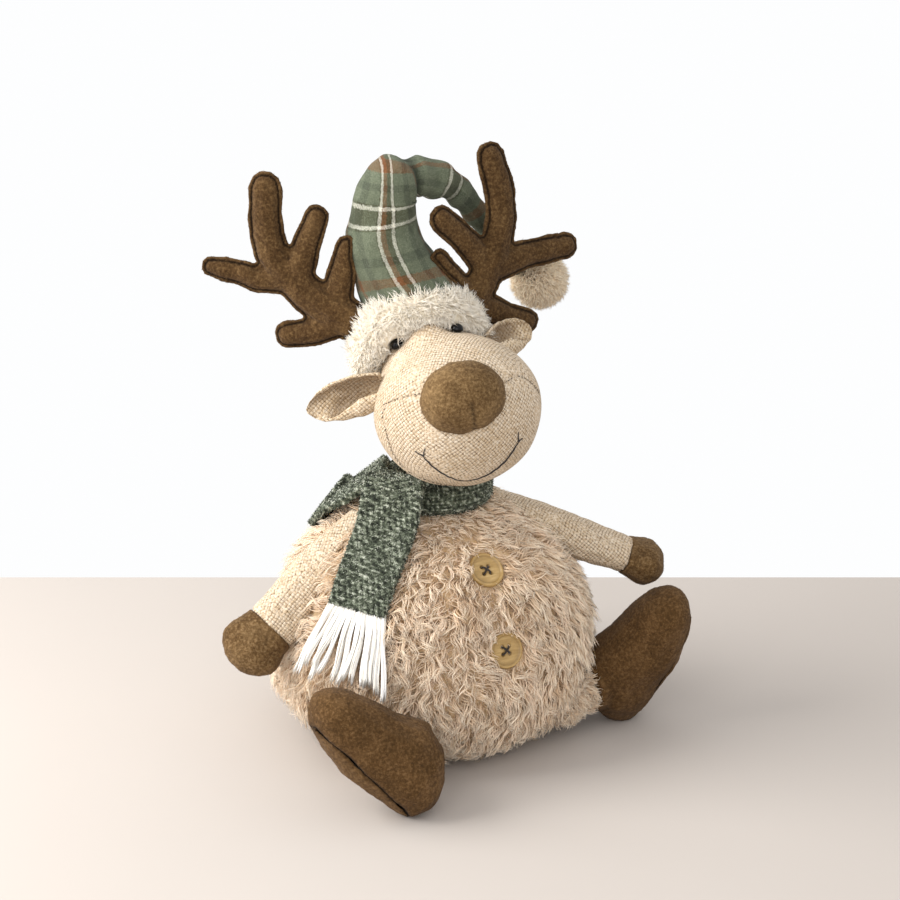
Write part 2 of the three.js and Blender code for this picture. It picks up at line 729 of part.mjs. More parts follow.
// The furry cuff: a fat band that leans back, let out by a distance.
function cuffForm(out) {
  const facing = new THREE.Vector3(0, Math.sin(cuffLean), Math.cos(cuffLean));
  const inner = cuffRadius - cuffDepth - out;
  const outer = cuffRadius + out;
  const high = cuffHalfWidth + out;
  const round = cuffDepth / 3;
  const band = turned([[inner, -high], [outer - round, -high], [outer, round - high], [outer, high - round],
    [outer - round, high], [inner, high], [inner, -high]], hatSides + smallSides);
  return seated(band, { place: hatPlace(cuffShares), facing });
}

function hatCuff() {
  const eyeRooms = Object.keys(sides).map((side) => ball(eyeSeat(side).place, eyeRadius + eyeClear, limbSides));
  return cut(cuffForm(0), headRoom(seatGap), hatForm(seatGap), ...eyeRooms);
}

// Antlers

// A tine: an oval swell along a line that rounds off at its end, or its flat sewn edge.
function tine(frame, { line, widths }, sewnEdge) {
  const points = line.map(([out, up]) => frame.origin.clone().addScaledVector(frame.out, out * antlerHeight)
    .addScaledVector(frame.up, up * antlerHeight));
  const curve = new THREE.CatmullRomCurve3(points);
  const radii = widths.map((share) => share * antlerHeight - (sewnEdge ? 0 : seamAllowance));
  const steps = points.length + 1;
  const rings = [];
  for (let step = 0; step <= steps; step += 1) {
    rings.push(tineRing(frame, curve, step / steps, 0, between(radii, step / steps), sewnEdge));
  }
  const roundingShares = [0.6, 0.94];
  roundingShares.forEach((share) => {
    const radius = radii[radii.length - 1];
    rings.push(tineRing(frame, curve, 1, radius * share, radius * Math.sqrt(1 - share * share), sewnEdge));
  });
  return loft(rings);
}

function tineRing(frame, curve, share, beyond, radius, sewnEdge) {
  const tangent = curve.getTangent(share);
  const across = new THREE.Vector3().crossVectors(tangent, frame.face).normalize();
  const centre = curve.getPoint(share).addScaledVector(tangent, beyond);
  if (sewnEdge) {
    return flat(centre, across, frame.face, radius, feltThickness);
  }
  return oval(centre, across, frame.face, radius, radius * antlerFullness, smallSides);
}

function antlerFrame(side) {
  const sign = sides[side];
  const out = new THREE.Vector3(sign * Math.cos(antlerSweep), Math.sin(antlerSweep), 0);
  const up = new THREE.Vector3(0, 0, 1);
  return { origin: hatPlace(antlerSeats[side]), out, up, face: new THREE.Vector3().crossVectors(out, up) };
}

function antler(side) {
  const frame = antlerFrame(side);
  const tines = Object.values(antlers[side].tines);
  const filled = join(...tines.map((shape) => tine(frame, shape, false)));
  const sewn = join(...tines.map((shape) => tine(frame, shape, true)));
  return cut(join(filled, sewn), hatForm(seatGap), cuffForm(seatGap), pear(seatGap), tailForm(seatGap));
}

// Scarf

const scarfFoot = bodyHeight - scarfBandSink;

function scarfBandForm(out) {
  const low = scarfFoot - out;
  const high = scarfFoot + scarfBandHeight + out;
  const round = scarfBandThickness / 3;
  const inner = scarfBandRadius - scarfBandThickness / 2 - round - out;
  const outer = scarfBandRadius + scarfBandThickness / 2 + out;
  const ring = turned([[inner, low + round], [inner + round, low], [outer - round, low], [outer, low + round],
    [outer, high - round], [outer - round, high], [inner + round, high], [inner, high - round], [inner, low + round]],
  headSides);
  return ring.translate([0, -neckForward, 0]);
}

function scarfBand() {
  return cut(scarfBandForm(0), neckForm(seatGap, neckRise), bodyForm(seatGap));
}

// The middle line of an end: off the neck band, over the body's shoulder and down its side.
function endLine(end) {
  const reach = new THREE.Vector3(bodyRadius, bodyRadius, bodyHeight);
  return new THREE.CatmullRomCurve3(scarfEnds[end].pathShares
    .map((share) => new THREE.Vector3(...share).multiply(reach)));
}

function endFrame(line, share) {
  const tangent = line.getTangent(share);
  const centre = line.getPoint(share);
  const level = new THREE.Vector3(-centre.y, centre.x, 0).normalize();
  const wide = level.addScaledVector(tangent, -level.dot(tangent)).normalize();
  return { centre, tangent, wide, thick: new THREE.Vector3().crossVectors(wide, tangent) };
}

function scarfEnd(end) {
  const line = endLine(end);
  const steps = 10;
  const rings = Array.from({ length: steps + 1 }, (unused, step) => {
    const { centre, wide, thick } = endFrame(line, step / steps);
    return flat(centre, wide, thick, scarfWidth / 2, scarfThickness / 2);
  });
  return cut(loft(rings), scarfBandForm(seatGap), bodyForm(seatGap), neckForm(seatGap, neckRise),
    ...limbRoom('right'));
}

// The fringe fans out below the end of the scarf.
function fringe(end) {
  const { centre, tangent, wide, thick } = endFrame(endLine(end), 1);
  const { fringe: length, fringeAim } = scarfEnds[end];
  const aim = fringeAim.clone().normalize();
  const steps = 4;
  const rings = Array.from({ length: steps + 1 }, (unused, step) => {
    const share = step / steps;
    const place = centre.clone().addScaledVector(tangent, seatGap).addScaledVector(aim, length * share);
    const deep = THREE.MathUtils.lerp(scarfThickness, fringeThickness, Math.sin(share * Math.PI));
    return flat(place, wide, thick, THREE.MathUtils.lerp(scarfWidth, fringeSpread, share) / 2, deep / 2);
  });
  return cut(loft(rings), bodyForm(seatGap), bootForm('right', seatGap), ...limbRoom('right'));
}

// Arms

function armRings(side, out) {
  const sign = sides[side];
  const { aim, wide, fullness } = arms[side];
  const along = aim.clone().normalize();
  const across = wide.clone().addScaledVector(along, -wide.dot(along)).normalize();
  const through = new THREE.Vector3().crossVectors(along, across);
  const start = shoulder(sign);
  return { along, across, through, start, at: (distance, swell) => oval(start.clone().addScaledVector(along, distance),
    across, through, armWideRadius * swell * fullness + out, armThickRadius * swell * fullness + out, limbSides) };
}

function armForm(side, out) {
  const { at } = armRings(side, out);
  const step = arms[side].length / (armSwellShares.length - 1);
  const rings = armSwellShares.map((swell, station) => at(station * step, swell));
  return cut(loft(rings), bodyForm(limbClear - out));
}

function arm(side) {
  return join(armForm(side, 0), armBall(sides[side], 0));
}

function handForm(side, out) {
  const { at } = armRings(side, out);
  const wrist = armSwellShares[armSwellShares.length - 1];
  const stationShares = [0, 0.2, 0.42, 0.64, 0.84, 0.96, 1];
  const swellShares = [wrist * 1.02, wrist * 1.08, handSwell, handSwell, 0.9, 0.55, 0.25];
  const { length, hand } = arms[side];
  return loft(stationShares.map((share, station) => at(length + seatGap + hand * share, swellShares[station])));
}

function limbRoom(side) {
  return [armForm(side, seatGap), armBall(sides[side], seatGap), handForm(side, seatGap)];
}

// Legs and feet

// The boot's own directions: heel to toe, out through the sole, and across.
function bootFrame(side) {
  const { heel, toeAim, soleAim, length } = legs[side];
  const toe = toeAim.clone().normalize();
  const sole = soleAim.clone().addScaledVector(toe, -soleAim.dot(toe)).normalize();
  return { heel: heel.clone(), toe, sole, across: new THREE.Vector3().crossVectors(toe, sole), length };
}

// The rings of the stuffed boot, standing where its lowest point is pressed flat on the floor.
function bootRingsOf(side, out) {
  const { heel, toe, sole, across, length } = bootFrame(side);
  const ringOf = ({ along, middle, high, wide }, more) => {
    const centre = heel.clone().addScaledVector(toe, along * length).addScaledVector(sole, -middle * length);
    return oval(centre, across, sole, wide * length + more, high * length + more, bootSides);
  };
  const lowest = Math.min(...bootRings.flatMap((row) => ringOf(row, 0).map((point) => point.z)));
  const drop = new THREE.Vector3(0, 0, -lowest - pressedFlat);
  return bootRings.map((row) => ringOf(row, out).map((point) => point.add(drop)));
}

// A point of the boot by its shares along and above the sole.
function bootPlace(side, { along, middle }) {
  const { toe, sole, length } = bootFrame(side);
  const ring = bootRingsOf(side, 0)[0];
  const start = ring.reduce((sum, point) => sum.add(point), new THREE.Vector3()).divideScalar(ring.length);
  return start.addScaledVector(toe, (along - bootRings[0].along) * length)
    .addScaledVector(sole, (bootRings[0].middle - middle) * length);
}

// A straight round limb between two points, let out by a distance.
function strut(from, to, radius, count) {
  const along = to.clone().sub(from).normalize();
  const across = new THREE.Vector3(-along.y, along.x, 0).normalize();
  const through = new THREE.Vector3().crossVectors(along, across);
  return loft([0, 0.5, 1].map((share) => oval(from.clone().lerp(to, share), across, through, radius, radius, count)));
}

// The felt top of the boot, which reaches from the ankle almost to the ball at the hip.
function bootTop(side, out) {
  const from = bootPlace(side, ankleShares);
  const reach = hip(sides[side]).sub(from);
  reach.setLength(reach.length() - hipBallRadius - bootTopSpare + out);
  return strut(from, from.clone().add(reach), bootTopRadius + out, limbSides);
}

function bootForm(side, out) {
  return join(loft(bootRingsOf(side, out)), bootTop(side, out));
}

// Everything of the boot that lies beyond the sole's seam.
function soleRoom(side, out) {
  const { toe, sole, across, length } = bootFrame(side);
  const slab = new THREE.BoxGeometry(length * 2, length, length);
  slab.applyMatrix4(new THREE.Matrix4().makeBasis(toe, across.clone().negate(), sole));
  const middle = bootPlace(side, { along: 0.5, middle: soleSeamShare }).addScaledVector(sole, length / 2 - out);
  slab.translate(middle.x, middle.y, middle.z);
  return solid(mergeVertices(stripped(slab)));
}

function foot(side) {
  return restingOnFloor(cut(bootForm(side, 0), soleRoom(side, seatGap), bodyForm(seatGap)));
}

function sole(side) {
  return restingOnFloor(loft(bootRingsOf(side, 0)).intersect(soleRoom(side, 0)));
}

function leg(side) {
  const from = hip(sides[side]);
  const tube = cut(strut(from, bootPlace(side, ankleShares), legRadius, limbSides), bodyForm(seatGap));
  return restingOnFloor(cut(join(tube, hipBall(sides[side], 0)), bootForm(side, seatGap)));
}

// Assembly

function mesh(name, piece, colour, roughness = 0.95) {
  const made = new THREE.Mesh(surface(piece), new THREE.MeshStandardMaterial({ color: colour, roughness, metalness: 0 }));
  made.name = name;
  return made;
}

const deer = new THREE.Group();
const head = new THREE.Group();
head.position.copy(muzzleCentre);
head.rotation.copy(headTurn);
deer.add(head);

deer.add(mesh('body_cover', bodyCover(), furBeige));
deer.add(mesh('body_stuffing', bodyStuffing(), fillingWhite));
deer.add(mesh('pellet_bag', pelletBag(0), fillingWhite));
Object.keys(buttonHeightShares).forEach((name) => {
  deer.add(mesh(`button_${name}`, button(name), woodTan, 0.5));
  deer.add(mesh(`button_thread_${name}`, buttonThread(name), threadBrown));
});
deer.add(mesh('scarf_neck_band', scarfBand(), scarfGreen));
Object.keys(scarfEnds).forEach((end) => {
  deer.add(mesh(`scarf_end_${end}`, scarfEnd(end), scarfGreen));
  deer.add(mesh(`scarf_fringe_${end}`, fringe(end), yarnWhite));
});

head.add(mesh('head_cover', cut(headCover(), noseForm(seatGap)), linen));
head.add(mesh('head_stuffing', headStuffing(), fillingWhite));
head.add(mesh('nose', cut(noseForm(0), pear(seatGap)), noseBrown));
head.add(mesh('hat_cone', hatCone(), hatGreen));
head.add(mesh('hat_stuffing', hatStuffing(), fillingWhite));
head.add(mesh('hat_cuff', hatCuff(), cream));
head.add(mesh('hat_tail', hatTail(), hatGreen));
head.add(mesh('hat_pompom', pompom(0), cream));

Object.keys(sides).forEach((side) => {
  head.add(mesh(`eye_${side}`, eye(side), glossBlack, 0.1));
  head.add(mesh(`eye_washer_${side}`, eyeWasher(side), fillingWhite, 0.5));
  head.add(mesh(`ear_${side}`, ear(side), linen));
  head.add(mesh(`antler_${side}`, antler(side), feltBrown));
  deer.add(mesh(`arm_${side}`, arm(side), linen));
  deer.add(mesh(`hand_${side}`, cut(handForm(side, 0), bodyForm(seatGap)), feltBrown));
  deer.add(mesh(`leg_${side}`, leg(side), linen));
  deer.add(mesh(`foot_${side}`, foot(side), feltBrown));
  deer.add(mesh(`sole_${side}`, sole(side), feltBrown));
});

export default deer;
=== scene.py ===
"""A seated plush deer: the fur, linen, felt, tartan and knitwear that dress its sewn pieces."""

import json
import math

import bmesh
import bpy
import numpy as np
from bpy.props import FloatProperty, FloatVectorProperty, IntProperty, PointerProperty
from mathutils import Matrix, Vector
from mathutils.bvhtree import BVHTree
from mathutils.kdtree import KDTree

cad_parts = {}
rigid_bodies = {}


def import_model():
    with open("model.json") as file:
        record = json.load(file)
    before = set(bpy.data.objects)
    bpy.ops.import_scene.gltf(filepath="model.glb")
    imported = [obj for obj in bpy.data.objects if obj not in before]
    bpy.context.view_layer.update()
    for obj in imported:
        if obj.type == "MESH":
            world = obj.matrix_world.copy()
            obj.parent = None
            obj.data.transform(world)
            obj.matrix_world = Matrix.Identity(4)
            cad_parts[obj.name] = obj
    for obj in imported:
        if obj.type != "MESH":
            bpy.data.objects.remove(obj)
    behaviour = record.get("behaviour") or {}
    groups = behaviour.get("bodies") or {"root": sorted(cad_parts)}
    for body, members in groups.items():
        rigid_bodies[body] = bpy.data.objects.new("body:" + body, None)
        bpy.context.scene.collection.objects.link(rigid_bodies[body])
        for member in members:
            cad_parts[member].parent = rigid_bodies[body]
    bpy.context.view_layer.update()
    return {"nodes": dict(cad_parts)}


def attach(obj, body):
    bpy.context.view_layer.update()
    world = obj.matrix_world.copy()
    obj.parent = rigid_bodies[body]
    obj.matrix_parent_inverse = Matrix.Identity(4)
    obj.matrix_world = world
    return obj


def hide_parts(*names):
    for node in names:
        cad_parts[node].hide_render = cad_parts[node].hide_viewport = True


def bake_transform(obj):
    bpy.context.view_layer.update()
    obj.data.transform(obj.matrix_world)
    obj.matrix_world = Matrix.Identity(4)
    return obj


bl_info = {
    "name": "Plush Deer",
    "version": (1, 0, 0),
    "blender": (4, 5, 0),
    "location": "3D View > Sidebar > Plush Deer",
    "description": "Dresses a seated plush deer in fur, linen, felt, tartan and knitwear",
    "category": "Add Mesh",
}

for stray in list(bpy.data.objects):
    bpy.data.objects.remove(stray)
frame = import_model()

MM = 0.001
SIDES = {"left": 1, "right": -1}

# The body's outline as shares of its radius and height, from the floor up
BODY_RADIUS = 99 * MM
BODY_HEIGHT = 158 * MM
BODY_SHARES = [(0.4, 0), (0.61, 0.055), (0.81, 0.125), (0.94, 0.22), (1, 0.38), (0.945, 0.57), (0.79, 0.76),
               (0.55, 0.905), (0.33, 0.985)]
NECK = np.array([0, -4, 151]) * MM
SHOULDERS = {side: np.array([43 * sign, 0, 143]) * MM for side, sign in SIDES.items()}

# The head: its own frame stands in the middle of the muzzle
HEAD_CENTRE = np.array([-3.5, -43.6, 224.6]) * MM
HEAD_YAW = math.radians(-16)
HEAD_ROLL = math.radians(-9)
MUZZLE_RADIUS = 51 * MM
CROWN_RADIUS = 28 * MM
CROWN_CENTRE = np.array([-8.6, 33, 24]) * MM
HEAD_SQUASH = 0.9
NOSE_RADII = np.array([25.5, 19, 22]) * MM
NOSE_AIM = np.array([-0.06, -0.89, 0.45])
NOSE_SINK = 3 * MM
EYE_AIMS = {"left": np.array([0.19, 0.3, 0.95]), "right": np.array([-0.5, 0.42, 0.78])}
EYE_RADIUS = 4 * MM
EYE_DEPTH = 3.4 * MM
EYE_SHIFT = np.array([0, -1.5, 0]) * MM
BROW_AIM = np.array([-0.17, 0.36, 0.91])
BROW_RISE = 9.5 * MM
BROW_REACH = 12.5 * MM
EYE_HOLLOW = 8 * MM

# The neck's radius, then in millimetres its rises over the body and the nose's seam from the nose's middle
NECK_RADIUS = 17 * MM
NECK_RISES = (0.5, 45, 86)
NOSE_SEAM = [(1.5, -18.9, 1), (1.8, -18, -7), (2, -15.5, -13), (2, -11, -18), (2, -5, -21.4)]

# An ear's cross section from its upper edge to its lower one, across and towards the front in half widths
EAR_OPEN = np.array([(1, 0.5), (0.85, 0.2), (0.5, 0), (0, -0.08), (-0.45, -0.02), (-0.75, 0.12), (-0.95, 0.3),
                     (-1.02, 0.42)])
EAR_FOLDED = np.array([(0.95, 0.85), (0.9, 0.35), (0.55, -0.05), (0, -0.2), (-0.6, -0.1), (-0.98, 0.3), (-0.75, 0.78),
                       (-0.2, 0.9)])

# An ear's half width along it: shares of its length, and shares of its widest
EAR_WIDTHS = ([0, 0.12, 0.35, 0.6, 0.8, 0.93, 1], [0.7, 0.85, 1, 0.96, 0.74, 0.42, 0.1])

# The ears: where each leaves the head, the way that it points, the way of its width, and its size in millimetres
EARS = {
    "right": {"root": (-0.88, 0.27, 0.39), "aim": (-0.965, 0.2, -0.17), "wide": (0.2, 0.25, 0.95), "front": -1,
              "length": 50, "half": 12.5},
    "left": {"root": (0.66, 0.5, 0.56), "aim": (0.8, 0.6, 0.02), "wide": (-0.55, 0.3, 0.72), "front": 1,
             "length": 40, "half": 10.8},
}

# Stitched lines on the head, in its own frame, in millimetres
MOUTH = [(-31.3, -38.6, -10.3), (-27, -40, -19), (-19, -39, -27.5), (-9.1, -35.5, -31.9), (3, -36.5, -31),
         (14, -39, -25), (21, -41, -18.5), (25.9, -41.4, -13.2)]
MOUTH_ENDS = [[MOUTH[0], (-35.4, -35.9, -7.1)], [MOUTH[0], (-29.9, -41, -4.8)],
              [MOUTH[-1], (26.5, -42.9, -6.8)], [MOUTH[-1], (29.3, -39.4, -12.4)]]
HEAD_SEAMS = [[(-46.2, -10.6, 16.8), (-37, -23, 23), (-25.6, -32.8, 26.5), (-14, -38, 29)],
              [(10, -42, 27), (23.1, -37.3, 23.4), (35.2, -27.4, 22.2), (45.6, -19.2, 11.1), (47, -12, 2)],
              [(-44.9, -14.1, 17.6), (-48.2, -12, 10.6), (-48.2, -16.7, 1.2), (-46.1, -16.4, -12.9),
               (-39.3, -14.8, -26.1), (-28.5, -21.1, -33), (-10, -22, -41)]]

# The hat as rings of (across, back, up, half width, half depth, lean) in the head's frame, then its tail
HAT_RINGS = [(-9.5, 37.5, 25.7, 29.5, 29.5, 58), (-9.5, 46, 31, 30.5, 30.5, 58), (-8.5, 51, 44, 32, 29.5, 40),
             (-8.5, 53.5, 58, 31, 28, 22), (-14, 55.5, 76, 27.5, 26, 8), (-18.5, 56.5, 94, 24, 24, 2),
             (-19, 58, 107, 22.5, 22.5, 0), (-15.5, 59.3, 119.5, 20, 20, 0)]
TAIL_LINE = [(-8.5, 60, 131), (5.5, 63, 133.4), (17.2, 68, 128.8), (29.8, 73, 120.7), (41.1, 79, 106.1),
             (50.2, 85, 88.6), (60.5, 92, 67.6), (70, 97, 52)]
TAIL_RADII = [17.7, 13.4, 12.2, 9.6, 8.2, 7.2, 6.1, 5.0]
POMPOM = np.array([83.6, 104, 40]) * MM
POMPOM_RADIUS = 19 * MM
CUFF = np.array([-9.5, 46, 31]) * MM
CUFF_LEAN = math.radians(58)
HAT_SIDES = 96

# The hat's pile, and the room that it leaves round each eye: beside it, behind its seat and in front of it
PILE_STEPS = 3
CUFF_ROOTS = 6500
CUFF_PARTS = 2
BALL_ROOTS = 3400
EYE_ROOM = {"right": 2 * MM, "left": -2 * MM}
EYE_BEHIND = 2 * MM
EYE_AHEAD = 12 * MM

# The tartan: its repeat up the hat and around it, how far up it starts, and the ribs of its twill in one repeat
TARTAN_SETT = 68.4 * MM
TARTAN_AROUND = 62 * MM
TARTAN_START = 33.7 * MM
TWILL_RIBS = 46

# The tartan's places: the bearing of the hat's front, the rings from which the stripes run straight, where the fold
# pinches and where the tail's pair of stripes lies, and the side of a ring that is the front of the tail
STRIPE_BEARING = 268
STRAIGHT_STEP = 54
CREASE_STEP = 82
TAIL_PAIR_STEP = 100
TAIL_FRONT = 3

# Cloth and sewing
WEAVE_PITCH = 1.9 * MM
STITCH_STEP = 2.7 * MM
STITCH_LENGTH = 1.5 * MM
STITCHES_HIDDEN = 0.18
SEAM_ROWS = 200
SEAM_INSET = 2.2 * MM

# Meshes: how near to each other points are merged, how far off a piece is looked for, the step along a line that
# distances are measured from, and how many waves make up a random field
MERGE_GAP = 1e-6
SEARCH_REACH = 30 * MM
LINE_STEP = 0.4 * MM
WAVES = 14

# The body's fur: its locks, the height over which they get shorter towards the neck, and how flat they lie under a limb
HAIRS_PER_LOCK = 6
FUR_PARTS = 6
LOCK_STEPS = 5
NECK_FUR_FROM = 118 * MM
NECK_FUR_FADE = 35 * MM
PRESSED_SHARE = 0.42
LEG_LOCKS = 560
GLINTS = 750

# Where locks stay clear: the steps of a lock that are tested against the limbs, how far below a lock the scarf is
# looked for in millimetres, how far roots stay off a button's rim and tips may lie over it, and how far behind the
# button's back and in front of it this holds
LOCK_TESTS = (0, 2, 4, 5)
SCARF_DEPTHS = (0, 3, 6)
ROOT_ROOM = 0.3 * MM
TIP_OVERLAP = 2.2 * MM
BUTTON_BEHIND = 6 * MM
BUTTON_AHEAD = 16 * MM

# The flat fur where something presses on the body: how many roots are tried, how near a gap they lie, and their room
PRESSED_ROOTS = 30000
PRESSED_STEPS = 4
GAP_REACH = 4 * MM
LEG_ROOM = 9 * MM
LIMB_NODES = ["arm_left", "arm_right", "hand_right", "foot_left", "foot_right"]
SCARF_NODES = ["scarf_neck_band", "scarf_end_front", "scarf_end_back", "scarf_fringe_front", "scarf_fringe_back"]

# The scarf, and the raised arm that its fuzz leaves room for
SCARF_WIDTH = 40 * MM
SCARF_ROW = 2.1 * MM
SCARF_LOOP = 3.4 * MM
NECK_REACH = 31 * MM
ARM_RAISE = math.radians(40)
ARM_ROOM = 2.5 * MM
FRINGE_SPREAD = 66 * MM
FRINGE_LOCKS = 15
YARNS_PER_LOCK = 20
YARN_STEPS = 9

# The scarf's two ends: the middle line of each from the neck band and the length of its fringe, both in millimetres,
# the way its fringe hangs, its flat length in metres, and the seed of its fringe
SCARF_ENDS = {
    "front": {"line": [(-24, -19, 176.5), (-37, -24, 178.5), (-44, -33, 169), (-50, -36, 152), (-66, -44, 128),
                       (-76, -49, 109)],
              "length": 52, "aim": (-0.4, -0.2, -0.9), "flat": 0.1, "seed": 111},
    "back": {"line": [(-22, 18, 177), (-37, 23, 163), (-46, 31, 155), (-50, 43, 148), (-40, 58, 140), (-27, 71, 127),
                      (-17, 82, 111), (-11, 90, 93), (-9, 96, 75)],
             "length": 42, "aim": (-0.03, 0.06, -1), "flat": 0.15, "seed": 112},
}

# The buttons: their heights on the body as shares of its height, their bearing from the front, and their form
BUTTON_SHARES = {"upper": 0.814, "lower": 0.535}
BUTTON_BEARING = math.radians(1.3)
BUTTON_SINK = 2 * MM
BUTTON_RADIUS = 11.4 * MM
BUTTON_THICKNESS = 3.6 * MM
BUTTON_DISH = 1.2 * MM
BUTTON_RIM = 2.2 * MM
BUTTON_FACE = BUTTON_THICKNESS - BUTTON_DISH
HOLE_HALF = 4.6 * MM / 2
HOLE_RADIUS = 1.45 * MM
BUTTON_ROWS = [(0, 0), (0.5, 0), (0.9, 0.1), (1.0, 0.42), (0.995, 0.7), (0.965, 0.9), (0.92, 0.985), (0.88, 1.0),
               (0.845, 0.96), (0.815, 0.86), (0.79, 0.74)]

# The view: where the camera stands, what it looks at, and its focal length in pixels of a frame 900 wide
CAMERA_AZIMUTH = math.radians(-28)
CAMERA_ELEVATION = math.radians(18)
CAMERA_DISTANCE = 1.5
CAMERA_AIM = Vector((0.011, -0.006, 0.186))
CAMERA_SENSOR = 36
FOCAL_PIXELS = 2381
FRAME_PIXELS = 900

# The stage
TABLE_HALF = 2.4
TABLE_EDGE = 0.26
LAMP_AIM = Vector((0, 0, 0.17))
WORLD_LIGHT = 0.86


# Numbers

def unit(rows):
    return rows / np.maximum(np.linalg.norm(rows, axis=-1, keepdims=True), 1e-12)


def ripple(points, size, seed):
    """A smooth random field of about -1 to 1 whose bumps are about a size apart."""
    draw = np.random.default_rng(seed)
    waves = unit(draw.normal(size=(WAVES, 3))) * (2 * math.pi / size) * draw.uniform(0.6, 1.4, (WAVES, 1))
    phases = draw.uniform(0, 2 * math.pi, WAVES)
    return np.sin(points @ waves.T + phases).sum(1) / math.sqrt(WAVES)


def length_of(line):
    return np.linalg.norm(np.diff(line, axis=0), axis=1).sum()


def run_of(line):
    """How far along a line each of its points lies."""
    return np.concatenate([[0], np.cumsum(np.linalg.norm(np.diff(line, axis=0), axis=1))])


def smooth_line(points, count):
    """A smooth line through points, as count points at even steps."""
    guide = np.asarray(points, float)
    ends = np.vstack([2 * guide[0] - guide[1], guide, 2 * guide[-1] - guide[-2]])
    rows = []
    for at in range(1, len(ends) - 2):
        a, b, c, d = ends[at - 1:at + 3]
        for share in np.linspace(0, 1, 24, endpoint=False):
            rows.append(0.5 * (2 * b + (c - a) * share + (2 * a - 5 * b + 4 * c - d) * share ** 2
                               + (3 * b - a - 3 * c + d) * share ** 3))
    rows.append(guide[-1])
    rows = np.array(rows)
    run = run_of(rows)
    even = np.linspace(0, run[-1], count)
    return np.stack([np.interp(even, run, rows[:, axis]) for axis in range(rows.shape[1])], 1)


def turn_about(axis, angle):
    """The matrix of a turn about an axis."""
    x, y, z = unit(np.asarray(axis, float))
    c, s = math.cos(angle), math.sin(angle)
    skew = np.array([[0, -z, y], [z, 0, -x], [-y, x, 0]])
    return np.eye(3) + s * skew + (1 - c) * skew @ skew


def falloff(distance, reach):
    """1 where a distance is 0, falling smoothly to nothing over a few reaches."""
    return np.exp(-(distance / reach) ** 2)


def level_off(rows, facings):
    """Directions made to lie in the surface that the facings stand on."""
    return unit(rows - (rows * facings).sum(1, keepdims=True) * facings)


def square_to(row, axis):
    """A direction made square to an axis."""
    return unit(row - (row @ axis) * axis)


HEAD_TURN = turn_about((0, 0, 1), HEAD_YAW) @ turn_about((0, 1, 0), HEAD_ROLL)


def from_head(points):
    """Points of the head's frame in the toy's frame."""
    return np.asarray(points, float) @ HEAD_TURN.T + HEAD_CENTRE


# Meshes

def points_of(mesh):
    rows = np.zeros(len(mesh.vertices) * 3)
    mesh.vertices.foreach_get("co", rows)
    return rows.reshape(-1, 3)


def facings_of(mesh):
    rows = np.zeros(len(mesh.vertices) * 3)
    mesh.vertex_normals.foreach_get("vector", rows)
    return rows.reshape(-1, 3)


def move_points(mesh, points):
    mesh.vertices.foreach_set("co", np.asarray(points, np.float32).ravel())
    mesh.update()


def swell(mesh, amounts):
    """Moves each point of a mesh along the way that the surface faces there."""
    move_points(mesh, points_of(mesh) + facings_of(mesh) * amounts[:, None])


def keep_above(points, gap):
    """Lifts points that are lower than a gap over the floor."""
    points[..., 2] = np.maximum(points[..., 2], gap)


def write_attribute(mesh, name, values):
    layer = mesh.attributes.get(name) or mesh.attributes.new(name, "FLOAT", "POINT")
    layer.data.foreach_set("value", np.asarray(values, np.float32))


def mesh_of(form, name):
    """A mesh from a bmesh, with its faces outward."""
    bmesh.ops.recalc_face_normals(form, faces=form.faces)
    mesh = bpy.data.meshes.new(name)
    form.to_mesh(mesh)
    form.free()
    return mesh


def ball(name, subdivisions, radius=1.0):
    """A round mesh of even triangles."""
    form = bmesh.new()
    bmesh.ops.create_icosphere(form, subdivisions=subdivisions, radius=radius)
    return mesh_of(form, name)


def spun(profile, steps):
    """A closed form spun about the upright axis from rows of (radius, height)."""
    form = bmesh.new()
    verts = [form.verts.new((radius, 0, height)) for radius, height in profile]
    edges = [form.edges.new(pair) for pair in zip(verts, verts[1:])]
    bmesh.ops.spin(form, geom=verts + edges, axis=(0, 0, 1), cent=(0, 0, 0), steps=steps, angle=2 * math.pi,
                   use_merge=True)
    bmesh.ops.remove_doubles(form, verts=form.verts, dist=MERGE_GAP)
    return form


def softened(node, voxel, rounds):
    """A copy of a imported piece's form, meshed evenly and smoothed."""
    mesh = frame["nodes"][node].data.copy()
    form = bmesh.new()
    form.from_mesh(mesh)
    bmesh.ops.remove_doubles(form, verts=form.verts, dist=MERGE_GAP)
    form.to_mesh(mesh)
    form.free()
    holder = bpy.data.objects.new("form", mesh)
    bpy.context.scene.collection.objects.link(holder)
    even = holder.modifiers.new("Remesh", "REMESH")
    even.mode = "VOXEL"
    even.voxel_size = voxel
    relax = holder.modifiers.new("Smooth", "SMOOTH")
    relax.factor = 0.5
    relax.iterations = rounds
    graph = bpy.context.evaluated_depsgraph_get()
    made = bpy.data.meshes.new_from_object(holder.evaluated_get(graph))
    bpy.data.objects.remove(holder)
    return made


def swept(rings, name):
    """A closed tube through rings of points, made by extruding a circle from each ring to the next."""
    rings = np.asarray(rings, float)
    form = bmesh.new()
    step = form.verts.layers.int.new("step")
    side = form.verts.layers.int.new("side")
    first = bmesh.ops.create_circle(form, cap_ends=True, segments=rings.shape[1], radius=1)["verts"]
    for at, vert in enumerate(first):
        vert.co = rings[0][at]
        vert[side] = at
    edges = [edge for edge in form.edges]
    for row in range(1, len(rings)):
        made = bmesh.ops.extrude_edge_only(form, edges=edges)["geom"]
        verts = {item for item in made if isinstance(item, bmesh.types.BMVert)}
        edges = [item for item in made if isinstance(item, bmesh.types.BMEdge) and set(item.verts) <= verts]
        for vert in verts:
            vert.co = rings[row][vert[side]]
            vert[step] = row
    bmesh.ops.contextual_create(form, geom=edges)
    return mesh_of(form, name)


